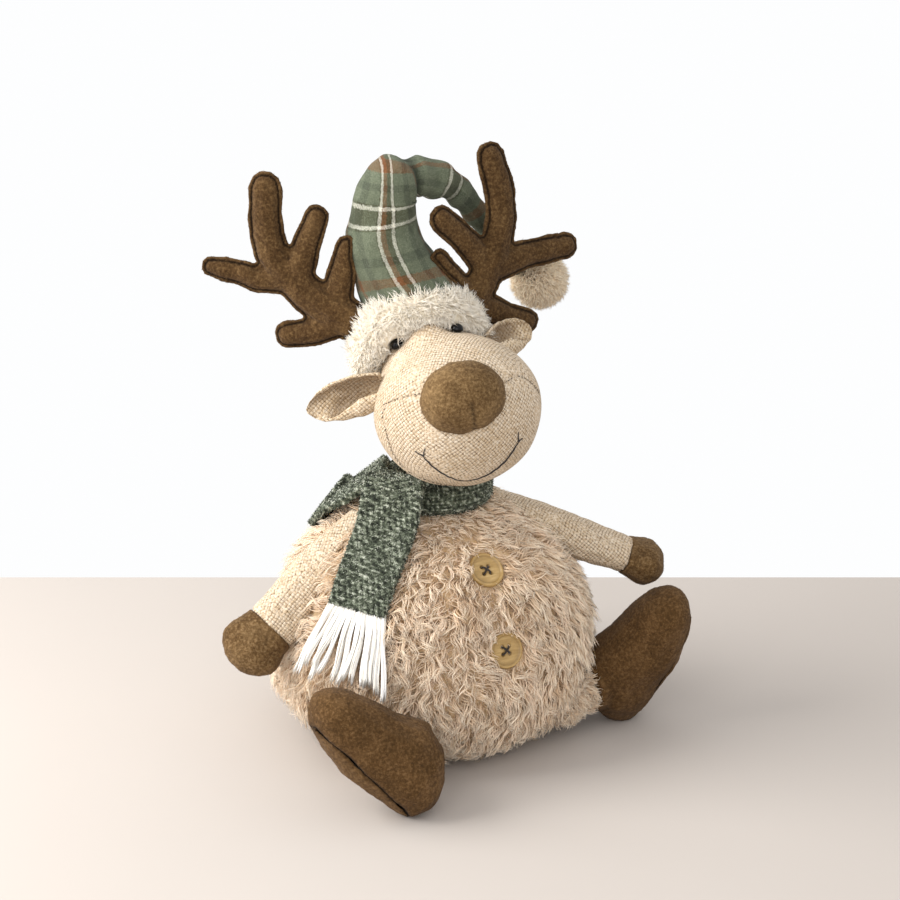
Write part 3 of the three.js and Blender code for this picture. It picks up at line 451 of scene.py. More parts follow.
def tube_rings(line, radii, sides, start=(0, 1, 0)):
    """Rings of a tube along a line, carried on without a twist."""
    line = np.asarray(line, float)
    radii = np.broadcast_to(np.asarray(radii, float), len(line))
    tangents = unit(np.gradient(line, axis=0))
    wide = np.asarray(start, float)
    angles = np.linspace(0, 2 * math.pi, sides, endpoint=False)
    rings = []
    for place, tangent, radius in zip(line, tangents, radii):
        wide = square_to(wide, tangent)
        thick = np.cross(tangent, wide)
        rings.append(place + radius * (np.outer(np.cos(angles), wide) + np.outer(np.sin(angles), thick)))
    return np.array(rings)


def joined(meshes, name):
    """Several meshes as one."""
    form = bmesh.new()
    for mesh in meshes:
        form.from_mesh(mesh)
    mesh = bpy.data.meshes.new(name)
    form.to_mesh(mesh)
    form.free()
    return mesh


def tree_of(rows):
    """A search tree over rows of points."""
    tree = KDTree(len(rows))
    for at, row in enumerate(rows):
        tree.insert(row, at)
    tree.balance()
    return tree


def nearest(points, others):
    """The distance of each point from the nearest of some others."""
    tree = tree_of(others)
    return np.array([tree.find(point)[2] for point in points])


def stitch(path, radius, sides, start=(0, 0.3, 1)):
    """A short round thread along a path."""
    return swept(tube_rings(path, radius, sides, start), "stitch")


def deepen_creases(mesh, depth):
    """Adds a seam's depth to the creases that the mesh has already, so that painted shade falls in the seam too."""
    known = np.zeros(len(mesh.vertices), np.float32)
    mesh.attributes["crease"].data.foreach_get("value", known)
    mesh.attributes["crease"].data.foreach_set("value", np.clip(known + depth, 0, 1).astype(np.float32))


def near_lines(points, lines):
    """The distance of each point from the nearest of some lines."""
    rows = [smooth_line(line, max(int(length_of(np.asarray(line)) / LINE_STEP), 8)) for line in lines]
    return nearest(points, np.vstack(rows))


def write_creases(mesh, reach, rounds=8):
    """Writes how hollow the surface is at each point: 1 in a fold, 0 on the flat or a ridge; the finishes paint shade
    by it.
    """
    points, facings = points_of(mesh), facings_of(mesh)
    ends = np.zeros(len(mesh.edges) * 2, np.int64)
    mesh.edges.foreach_get("vertices", ends)
    a, b = ends.reshape(-1, 2).T
    count = np.bincount(np.concatenate([a, b]), minlength=len(points)).clip(1)
    eased = points
    for _ in range(rounds):
        total = np.stack([np.bincount(a, eased[b, axis], len(points)) + np.bincount(b, eased[a, axis], len(points))
                          for axis in range(3)], 1)
        eased = (eased + total / count[:, None]) / 2
    hollow = ((eased - points) * facings).sum(1)
    write_attribute(mesh, "crease", np.clip(hollow / reach, 0, 1))


def show(name, mesh, material, body, replaces=()):
    """Adds a finished piece to the scene, riding on its body."""
    mesh.name = name
    mesh.materials.clear()
    mesh.materials.append(material)
    mesh.shade_smooth()
    item = bpy.data.objects.new(name, mesh)
    bpy.context.scene.collection.objects.link(item)
    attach(item, body)
    if replaces:
        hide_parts(*replaces)
    return item


# Pile, fuzz and yarn

def strand_form(sides, steps):
    """One closed strand that ends in a point: (points with the step as their height, triangles)."""
    form = bmesh.new()
    bmesh.ops.create_circle(form, cap_ends=True, segments=sides, radius=1)
    edges = list(form.edges)
    for _ in range(steps):
        made = bmesh.ops.extrude_edge_only(form, edges=edges)["geom"]
        verts = [item for item in made if isinstance(item, bmesh.types.BMVert)]
        edges = [item for item in made if isinstance(item, bmesh.types.BMEdge) and all(v in verts for v in item.verts)]
        bmesh.ops.translate(form, verts=verts, vec=(0, 0, 1))
    bmesh.ops.pointmerge(form, verts=verts, merge_co=(0, 0, steps))
    bmesh.ops.recalc_face_normals(form, faces=form.faces)
    bmesh.ops.triangulate(form, faces=form.faces)
    form.verts.ensure_lookup_table()
    points = np.array([vert.co for vert in form.verts])
    triangles = np.array([[vert.index for vert in face.verts] for face in form.faces])
    form.free()
    return points, triangles


def strands(name, paths, widths, ups, tones, sides=3):
    """A mesh of strands: each follows its path, as wide as its widths, with a tone and its share along."""
    count, steps = paths.shape[0], paths.shape[1] - 1
    form, triangles = strand_form(sides, steps)
    level = np.rint(form[:, 2]).astype(int)
    tangents = unit(np.gradient(paths, axis=1))
    across = unit(np.cross(tangents, ups[:, None, :]))
    over = np.cross(across, tangents)
    x = form[:, 0][None, :, None] * widths[:, level][:, :, None]
    y = form[:, 1][None, :, None] * widths[:, level][:, :, None]
    points = paths[:, level] + across[:, level] * x + over[:, level] * y
    size = len(form)
    faces = (triangles[None] + (np.arange(count) * size)[:, None, None]).reshape(-1, 3)
    mesh = bpy.data.meshes.new(name)
    mesh.vertices.add(count * size)
    mesh.vertices.foreach_set("co", points.astype(np.float32).ravel())
    mesh.loops.add(faces.size)
    mesh.loops.foreach_set("vertex_index", faces.astype(np.int32).ravel())
    mesh.polygons.add(len(faces))
    mesh.polygons.foreach_set("loop_start", np.arange(0, faces.size, 3, dtype=np.int32))
    mesh.update(calc_edges=True)
    write_attribute(mesh, "tone", np.repeat(tones, size))
    write_attribute(mesh, "along", np.tile(level / steps, count))
    return mesh


def taper(steps, count, *widths):
    """Half widths along each strand, from millimetres at its root, its belly and its tip."""
    root, belly, tip = np.array(widths) * MM
    share = np.linspace(0, 1, steps + 1)
    shape = np.interp(share, [0, 0.35, 0.75, 1], [root, belly, belly * 0.62, tip])
    return np.tile(shape, (count, 1))


def tones_about(middle, spread, count, draw):
    """A tone for each of some strands, most of them near the middle one."""
    return np.clip(middle + spread * draw.normal(size=count), 0, 1)


def scattered(mesh, count, seed):
    """Points spread over a mesh by area, with the way that the surface faces there."""
    draw = np.random.default_rng(seed)
    mesh.calc_loop_triangles()
    corners = np.zeros(len(mesh.loop_triangles) * 3, np.int64)
    mesh.loop_triangles.foreach_get("vertices", corners)
    corners = corners.reshape(-1, 3)
    points, facings = points_of(mesh), facings_of(mesh)
    a, b, c = points[corners[:, 0]], points[corners[:, 1]], points[corners[:, 2]]
    area = np.linalg.norm(np.cross(b - a, c - a), axis=1)
    pick = np.searchsorted(np.cumsum(area), (np.arange(count) + draw.uniform(0, 1, count)) / count * area.sum())
    pick = pick.clip(0, len(corners) - 1)
    u, v = draw.uniform(0, 1, (2, count, 1))
    over = u + v > 1
    u, v = np.where(over, 1 - u, u), np.where(over, 1 - v, v)
    places = a[pick] + u * (b - a)[pick] + v * (c - a)[pick]
    return places, unit(facings[corners[pick]].mean(1))


def pile(roots, facings, flow, lengths, lift, droop, curl, steps, draw):
    """Paths that leave the roots between the facing and the flow, lie down and wave sideways."""
    count = len(roots)
    flow = level_off(flow, facings)
    across = np.cross(facings, flow)
    rise = lift * draw.uniform(0.75, 1.25, count)
    phase = draw.uniform(0, 2 * math.pi, count)
    turns = draw.uniform(0.5, 1.3, count)
    paths = [roots]
    for step in range(steps):
        share = (step + 0.5) / steps
        sway = curl * np.sin(phase + turns * 2 * math.pi * share)
        heading = unit(facings * (rise * (1 - droop * share))[:, None] + flow + across * sway[:, None])
        paths.append(paths[-1] + heading * (lengths / steps)[:, None])
    return np.stack(paths, 1)


def bundled(paths, facings, each, spread, draw, gather, stray):
    """Each path as a lock of several strands that start apart and come together towards the tip."""
    count, steps = len(paths), paths.shape[1] - 1
    many = np.repeat(paths, each, 0)
    ups = np.repeat(facings, each, 0)
    offset = draw.normal(size=(count * each, 3)) * spread
    offset -= (offset * ups).sum(1, keepdims=True) * ups * 0.7
    share = np.linspace(0, 1, steps + 1)[None, :, None]
    many = many + offset[:, None, :] * (1 - gather * share ** 1.3)
    wander = np.cumsum(draw.normal(size=many.shape), 1) * stray * share
    return many + wander, ups


def show_in_parts(name, parts, hairs, widths, ups, tones, material, body):
    """Shows a pile as several pieces, so that none of them holds too many triangles."""
    for part in range(parts):
        pick = slice(part, None, parts)
        part_name = f"{name}_{part + 1}"
        show(part_name, strands(part_name, hairs[pick], widths[pick], ups[pick], tones[pick]), material, body)


def add_felt_fuzz(name, mesh, count, colour, body, seed):
    """Stray fibres that stand a little off a piece of felt, from dark to a paler colour."""
    draw = np.random.default_rng(seed)
    roots, facings = scattered(mesh, count, seed)
    flow = draw.normal(size=roots.shape)
    lengths = draw.uniform(0.7, 1.8, count) * MM
    paths = pile(roots - facings * 0.1 * MM, facings, flow, lengths, 0.7, 0.6, 0.8, 2, draw)
    keep_above(paths, 0.05 * MM)
    fuzz = strands(name, paths, taper(2, count, 0.09, 0.08, 0.03), facings, draw.uniform(0, 1, count))
    finish = Finish(name, roughness=0.9, specular=0.15)
    shade = finish.wear(finish.mix(finish.attribute("tone"), "3f2c17", colour))
    return show(name, fuzz, shade, body)


def keep_out(nodes, margin):
    """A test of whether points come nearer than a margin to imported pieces, or are inside them."""
    trees = []
    for node in nodes:
        mesh = frame["nodes"][node].data
        mesh.calc_loop_triangles()
        trees.append(BVHTree.FromPolygons([v.co for v in mesh.vertices], [t.vertices for t in mesh.loop_triangles]))

    def blocked(points):
        answer = np.zeros(len(points), bool)
        for at, point in enumerate(points):
            for tree in trees:
                place, facing, _, gap = tree.find_nearest(Vector(point), SEARCH_REACH)
                if place is not None and (gap < margin or (Vector(point) - place).dot(facing) < 0):
                    answer[at] = True
                    break
        return answer

    return blocked


# The body's and the head's surfaces

def body_line(rows):
    """The body's outline as rows of (radius, height)."""
    return smooth_line(np.array([(wide * BODY_RADIUS, high * BODY_HEIGHT) for wide, high in BODY_SHARES]), rows)


BODY_LINE_ROWS = 60
BODY_LINE = body_line(BODY_LINE_ROWS)


def body_at(bearing, height, out=0.0):
    """A point over the body and the way that it faces, from a bearing off the front and a height."""
    radius = np.interp(height, BODY_LINE[:, 1], BODY_LINE[:, 0])
    step = BODY_HEIGHT / BODY_LINE_ROWS
    slope = (np.interp(height + step, BODY_LINE[:, 1], BODY_LINE[:, 0])
             - np.interp(height - step, BODY_LINE[:, 1], BODY_LINE[:, 0])) / (2 * step)
    size = np.hypot(1, slope)
    facing = np.stack([np.sin(bearing) / size, -np.cos(bearing) / size, -slope / size * np.ones_like(bearing)], -1)
    place = np.stack([np.sin(bearing) * radius, -np.cos(bearing) * radius, height * np.ones_like(bearing)], -1)
    return place + facing * out, facing


def button_seat(name):
    """The middle of a button's back, and the way that it faces."""
    height = np.array([BODY_HEIGHT * BUTTON_SHARES[name]])
    place, facing = body_at(np.array([BUTTON_BEARING]), height, -BUTTON_SINK)
    return place[0], facing[0]


def on_pear(aims):
    """Where rays from the middle of the muzzle leave the head, and the way that it faces there."""
    squash = np.array([1, 1, HEAD_SQUASH])
    aims = unit(np.asarray(aims, float) / squash)
    span = np.linalg.norm(CROWN_CENTRE)
    axis = CROWN_CENTRE / span
    thin = (MUZZLE_RADIUS - CROWN_RADIUS) / span
    lean = aims @ axis
    away = unit(aims - lean[:, None] * axis)
    side = away * math.sqrt(1 - thin ** 2) + axis * thin
    reach = MUZZLE_RADIUS / np.maximum((aims * side).sum(1), 1e-6)
    middle = aims @ CROWN_CENTRE
    far = middle + np.sqrt(np.maximum(middle ** 2 - span ** 2 + CROWN_RADIUS ** 2, 0))
    ball = lean <= thin
    cone = ~ball & (lean * reach <= span + CROWN_RADIUS * thin)
    length = np.where(ball, MUZZLE_RADIUS, np.where(cone, reach, far))
    places = aims * length[:, None]
    facing = np.where(ball[:, None], aims, np.where(cone[:, None], side, unit(places - CROWN_CENTRE)))
    return places * squash, unit(facing / squash)


def head_spot(aim):
    """One point of the head's surface, and the way that it faces there."""
    places, facings = on_pear([aim])
    return places[0], facings[0]


# Finishes

def rgb(code):
    """A colour such as d9c3a5 as linear red, green, blue and alpha."""
    parts = [int(code[at:at + 2], 16) / 255 for at in (0, 2, 4)]
    return tuple(part / 12.92 if part <= 0.04045 else ((part + 0.055) / 1.055) ** 2.4 for part in parts) + (1.0,)


class Finish:
    """A material whose nodes are added one at a time."""

    def __init__(self, name, roughness=0.9, sheen=0.0, specular=0.3, coat=0.0):
        self.material = bpy.data.materials.new(name)
        self.material.use_nodes = True
        self.tree = self.material.node_tree
        self.shader = self.tree.nodes["Principled BSDF"]
        self.shader.inputs["Roughness"].default_value = roughness
        self.shader.inputs["Sheen Weight"].default_value = sheen
        self.shader.inputs["Sheen Roughness"].default_value = 0.6
        self.shader.inputs["Specular IOR Level"].default_value = specular
        self.shader.inputs["Coat Weight"].default_value = coat
        self.place = self.add("TexCoord").outputs["Object"]

    def add(self, kind, sockets=None, **settings):
        node = self.tree.nodes.new("ShaderNode" + kind)
        for key, value in settings.items():
            setattr(node, key, value)
        for key, value in (sockets or {}).items():
            if isinstance(value, bpy.types.NodeSocket):
                self.tree.links.new(value, node.inputs[key])
            else:
                node.inputs[key].default_value = value
        return node

    def math(self, operation, *values):
        return self.add("Math", dict(enumerate(values)), operation=operation).outputs[0]

    def noise(self, scale, detail=4.0, rough=0.5, stretch=None):
        at = self.place
        if stretch:
            at = self.add("Mapping", {"Vector": at, "Scale": stretch}).outputs[0]
        sockets = {"Vector": at, "Scale": scale, "Detail": detail, "Roughness": rough}
        return self.add("TexNoise", sockets).outputs[0]

    def ramp(self, share, stops, interpolation="LINEAR"):
        node = self.add("ValToRGB", {0: share})
        node.color_ramp.interpolation = interpolation
        while len(node.color_ramp.elements) < len(stops):
            node.color_ramp.elements.new(0.5)
        for element, (position, colour) in zip(node.color_ramp.elements, stops):
            element.position = position
            element.color = rgb(colour) if isinstance(colour, str) else (colour, colour, colour, 1)
        return node.outputs[0]

    def mix(self, share, a, b):
        a = rgb(a) if isinstance(a, str) else a
        b = rgb(b) if isinstance(b, str) else b
        return self.add("Mix", {0: share, 6: a, 7: b}, data_type="RGBA").outputs[2]

    def tint(self, colour, share, stops, other):
        """A colour with another over it, as strongly as the stops say along a share."""
        return self.mix(self.ramp(share, stops), colour, other)

    def attribute(self, name):
        return self.add("Attribute", attribute_name=name).outputs["Fac"]

    # Painted shade: the colour runs towards a shade colour in folds, seams and hollows, as far as the crease attribute
    # says.
    def paint_crease_shade(self, colour, strength, dark):
        return self.mix(self.math("MULTIPLY", self.attribute("crease"), strength), colour, dark)

    def shaken(self, place, amount, **noise):
        """A place moved about by a noise, by half an amount each way at most."""
        shake = self.add("TexNoise", {"Vector": self.place, **noise}).outputs[1]
        shake = self.add("VectorMath", {0: shake, 1: (0.5, 0.5, 0.5)}, operation="SUBTRACT").outputs[0]
        shake = self.add("VectorMath", {0: shake, "Scale": amount}, operation="SCALE").outputs[0]
        return self.add("VectorMath", {0: place, 1: shake}, operation="ADD").outputs[0]

    def bump(self, height, distance, strength=1.0):
        return self.add("Bump", {"Height": height, "Distance": distance, "Strength": strength}).outputs[0]

    def wear(self, colour, normal=None):
        self.tree.links.new(colour, self.shader.inputs["Base Color"])
        if normal is not None:
            self.tree.links.new(normal, self.shader.inputs["Normal"])
        return self.material


def weave_height(finish):
    """A slanted plain weave laid over a surface from its three sides: 0 in the holes, 1 on the threads."""
    place = finish.shaken(finish.place, 1.5 * MM, Scale=260.0, Detail=3.0)
    x, y, z = finish.add("SeparateXYZ", {0: place}).outputs
    world = finish.add("NewGeometry").outputs["Normal"]
    facing = finish.add("VectorTransform", {0: world}, vector_type="NORMAL", convert_from="WORLD",
                        convert_to="OBJECT").outputs[0]
    shares = [finish.math("POWER", finish.math("ABSOLUTE", part), 5.0)
              for part in finish.add("SeparateXYZ", {0: facing}).outputs]
    step = math.pi / WEAVE_PITCH / math.sqrt(2)
    total, weight = None, None
    for share, (a, b) in zip(shares, ((y, z), (x, z), (x, y))):
        up = finish.math("SINE", finish.math("MULTIPLY", finish.math("ADD", a, b), step))
        down = finish.math("SINE", finish.math("MULTIPLY", finish.math("SUBTRACT", a, b), step))
        cell = finish.math("MULTIPLY", share, finish.math("ABSOLUTE", finish.math("MULTIPLY", up, down)))
        total = cell if total is None else finish.math("ADD", total, cell)
        weight = share if weight is None else finish.math("ADD", weight, share)
    return finish.math("DIVIDE", total, weight)


def linen(name, thread="d9c5ab"):
    """Coarse undyed linen: pale knobs of thread with painted shade in the gaps between them, and painted shade in folds
    and seams.
    """
    finish = Finish(name, roughness=0.92, sheen=0.04, specular=0.12)
    height = weave_height(finish)
    tone = finish.ramp(finish.noise(45.0, 4.0), [(0.3, "cdb799"), (0.7, "e2d2bc")])
    threads = finish.mix(0.5, thread, tone)
    knobs = finish.noise(620.0, 2.0, 0.6)
    threads = finish.tint(threads, knobs, [(0.36, 0.5), (0.52, 0.0)], "ae9067")
    threads = finish.tint(threads, knobs, [(0.5, 0.0), (0.68, 0.6)], "efe2cf")
    # Painted shade in the weave's gaps: the holes take a dark brown, more in some places than others.
    holes = finish.ramp(height, [(0.04, 1.0), (0.36, 0.0)])
    uneven = finish.ramp(finish.noise(380.0, 2.0, 0.7), [(0.36, 0.35), (0.62, 0.95)])
    colour = finish.mix(finish.math("MULTIPLY", holes, uneven), threads, "5f4830")
    # Painted shade in folds and seams.
    colour = finish.paint_crease_shade(colour, 0.6, "6b5238")
    fuzz = finish.noise(2600.0, 2.0)
    rise = finish.math("ADD", height, finish.math("MULTIPLY", fuzz, 0.4))
    return finish.wear(colour, finish.bump(rise, 0.4 * MM, 1.0))


def felt(name, dark, base, light, crease_shade):
    """Wool felt: matted fibres in a fine mottle, with painted shade in seams and folds."""
    finish = Finish(name, roughness=1.0, sheen=0.04, specular=0.08)
    mottle = finish.noise(560.0, 7.0, 0.72)
    colour = finish.ramp(mottle, [(0.34, dark), (0.5, base), (0.68, light)])
    fibres = finish.noise(1500.0, 3.0, 0.8, stretch=(1.0, 1.0, 0.3))
    colour = finish.tint(colour, fibres, [(0.54, 0.0), (0.76, 0.45)], light)
    broad = finish.noise(55.0, 4.0, 0.6)
    colour = finish.tint(colour, broad, [(0.38, 0.35), (0.55, 0.0)], dark)
    colour = finish.tint(colour, broad, [(0.5, 0.0), (0.72, 0.25)], light)
    # Painted shade in seams and folds.
    colour = finish.paint_crease_shade(colour, 0.92, crease_shade)
    rise = finish.math("ADD", fibres, mottle)
    return finish.wear(colour, finish.bump(rise, 0.45 * MM, 0.7))


def fur(name, root, middle, tip, warm, shade):
    """Pile whose colour runs from a darker root to a paler tip, partly the hair's own colour and partly painted shade
    deep in the pile and painted highlight on the tips, with some hairs warmer and some deeper.
    """
    finish = Finish(name, roughness=0.7, sheen=0.3, specular=0.2)
    # Root to tip: darker roots are partly painted shade deep in the pile, paler tips partly painted highlight.
    along = finish.ramp(finish.attribute("along"), [(0.0, root), (0.4, middle), (1.0, tip)])
    tone = finish.attribute("tone")
    colour = finish.tint(along, tone, [(0.0, 0.8), (0.42, 0.0)], shade)
    colour = finish.tint(colour, tone, [(0.62, 0.0), (1.0, 0.6)], warm)
    return finish.wear(colour)


def tufted(name, dark, light, scale, depth):
    """Soft tufts from dark to light."""
    finish = Finish(name, roughness=1.0, sheen=0.1, specular=0.1)
    tufts = finish.noise(scale, 5.0, 0.7)
    return finish.wear(finish.ramp(tufts, [(0.3, dark), (0.7, light)]), finish.bump(tufts, depth))


def skin(name, dark, light):
    """The backing that shows between the roots of a pile."""
    return tufted(name, dark, light, 420.0, 1.2 * MM)


def filling(name, dark, light):
    """The tufts of the stuffing and the pellet bag, which the covers hide."""
    return tufted(name, dark, light, 150.0, 1.5 * MM)


def tartan(name):
    """Brushed flannel with cream pairs and rust bands on sage green, woven in a fine twill."""
    finish = Finish(name, roughness=1.0, sheen=0.06, specular=0.08)
    cloth = finish.add("UVMap", uv_map="cloth").outputs[0]
    cloth = finish.shaken(cloth, 0.06, Scale=700.0, Detail=5.0, Roughness=0.8)
    u, v, _ = finish.add("SeparateXYZ", {0: cloth}).outputs
    green, deep, olive, cream, rust = "6a715d", "4d5345", "3d3a24", "e6e3d3", "7a4a28"
    lengthwise = [(0.0, rust), (0.03, green), (0.17, deep), (0.25, green), (0.395, olive), (0.41, cream),
                  (0.445, rust), (0.5, olive), (0.555, cream), (0.59, olive), (0.605, green), (0.75, deep),
                  (0.83, green), (0.97, rust)]
    crosswise = [(0.0, rust), (0.045, green), (0.16, deep), (0.24, green), (0.475, olive), (0.49, cream),
                 (0.52, olive), (0.64, cream), (0.67, olive), (0.685, green), (0.80, deep), (0.86, green),
                 (0.955, rust)]
    warp = finish.ramp(finish.math("FRACT", u), lengthwise, "CONSTANT")
    weft = finish.ramp(finish.math("FRACT", v), crosswise, "CONSTANT")
    slant = finish.math("MULTIPLY", finish.math("ADD", u, v), 2 * math.pi * TWILL_RIBS)
    twill = finish.math("ADD", finish.math("MULTIPLY", finish.math("SINE", slant), 0.3), 0.5)
    colour = finish.mix(twill, warp, weft)
    brush = finish.noise(1300.0, 5.0, 0.85)
    colour = finish.tint(colour, brush, [(0.34, 0.62), (0.54, 0.0)], "3a4032")
    colour = finish.tint(colour, brush, [(0.52, 0.0), (0.76, 0.5)], "adb19c")
    # Broad random darker patches in the cloth.
    broad_patches = finish.noise(60.0, 4.0, 0.6)
    colour = finish.tint(colour, broad_patches, [(0.36, 0.35), (0.52, 0.0)], "414838")
    # Painted shade in the hat's folds and creases.
    colour = finish.paint_crease_shade(colour, 0.8, "22271c")
    return finish.wear(colour, finish.bump(brush, 0.5 * MM, 0.9))


def chenille(name):
    """Velvety yarn mottled in small patches of pale, sage and dark green, its tone partly set by the knit's rows as
    painted shade between them.
    """
    finish = Finish(name, roughness=0.95, sheen=0.1, specular=0.12)
    spots = finish.noise(520.0, 5.0, 0.8)
    tone = finish.math("ADD", finish.math("MULTIPLY", finish.attribute("tone"), 0.62),
                       finish.math("MULTIPLY", spots, 0.42))
    colour = finish.ramp(tone, [(0.2, "1b1f18"), (0.38, "3b4134"), (0.53, "5f6655"), (0.68, "999f8d"),
                                (0.86, "dadccf")])
    return finish.wear(colour, finish.bump(spots, 0.6 * MM))


def yarn(name, colour, dark):
    """Fine yarn whose strands run from dark to white."""
    finish = Finish(name, roughness=0.85, sheen=0.2, specular=0.2)
    return finish.wear(finish.ramp(finish.attribute("tone"), [(0.0, dark), (0.5, colour), (1.0, "ffffff")]))


def thread(name, colour):
    """Twisted sewing thread."""
    finish = Finish(name, roughness=0.7, sheen=0.2, specular=0.3)
    twist = finish.noise(1800.0, 3.0, 0.6)
    return finish.wear(finish.ramp(twist, [(0.3, "0d0907"), (0.75, colour)]), finish.bump(twist, 0.15 * MM))


def button_wood(name):
    """Pale wood with a fine grain across it, with painted shade in the rim's groove and the holes."""
    finish = Finish(name, roughness=0.42, specular=0.5, coat=0.15)
    grain = finish.noise(90.0, 5.0, 0.6, stretch=(1.0, 1.0, 7.0))
    colour = finish.ramp(grain, [(0.3, "9c7c46"), (0.55, "b3935b"), (0.75, "c6a973")])
    # Painted shade in the rim's groove and the holes.
    colour = finish.paint_crease_shade(colour, 0.75, "6b5128")
    return finish.wear(colour, finish.bump(grain, 0.12 * MM, 0.5))


def gloss(name, colour):
    """Polished plastic for the eyes."""
    finish = Finish(name, roughness=0.1, specular=0.22)
    return finish.wear(finish.ramp(finish.noise(60.0), [(0.4, colour), (0.8, "17171b")]))


def body_coat():
    """The fur of the body and the legs, made by whichever of them comes first."""
    known = bpy.data.materials.get("long_fur")
    # Colour stops from a darker root to a paler tip: partly painted shade deep in the pile, partly painted highlight on
    # the tips.
    return known or fur("long_fur", "e2c5a0", "f8e0c2", "fff3df", "fcdfc4", "cfa97f")


# What a user may change

class DeerSizes(bpy.types.PropertyGroup):
    """The toy's sizes"""
    fur_length: FloatProperty(name="Fur length", description="Length of the locks on the body",
                              default=17.5 * MM, unit="LENGTH")
    fur_locks: IntProperty(name="Fur locks", description="How many locks cover the body", default=5800)
    cuff_pile: FloatProperty(name="Cuff pile", description="Length of the pile on the hat",
                             default=8.5 * MM, unit="LENGTH")
    pompom_pile: FloatProperty(name="Ball pile", description="Length of the pile on the hat's ball",
                               default=8 * MM, unit="LENGTH")
    thread_radius: FloatProperty(name="Thread radius", description="Radius of the mouth's thread",
                                 default=0.48 * MM, unit="LENGTH")
    yarn_radius: FloatProperty(name="Yarn radius", description="Radius of the fringe's yarn",
                               default=0.42 * MM, unit="LENGTH")


class DeerColours(bpy.types.PropertyGroup):
    """The stage's colours"""
    floor: FloatVectorProperty(name="Floor", description="Colour of the floor",
                               default=(0.55, 0.5, 0.46), subtype="COLOR")
    backdrop: FloatVectorProperty(name="Backdrop", description="Colour behind the toy",
                                  default=(0.985, 0.99, 0.995), subtype="COLOR")


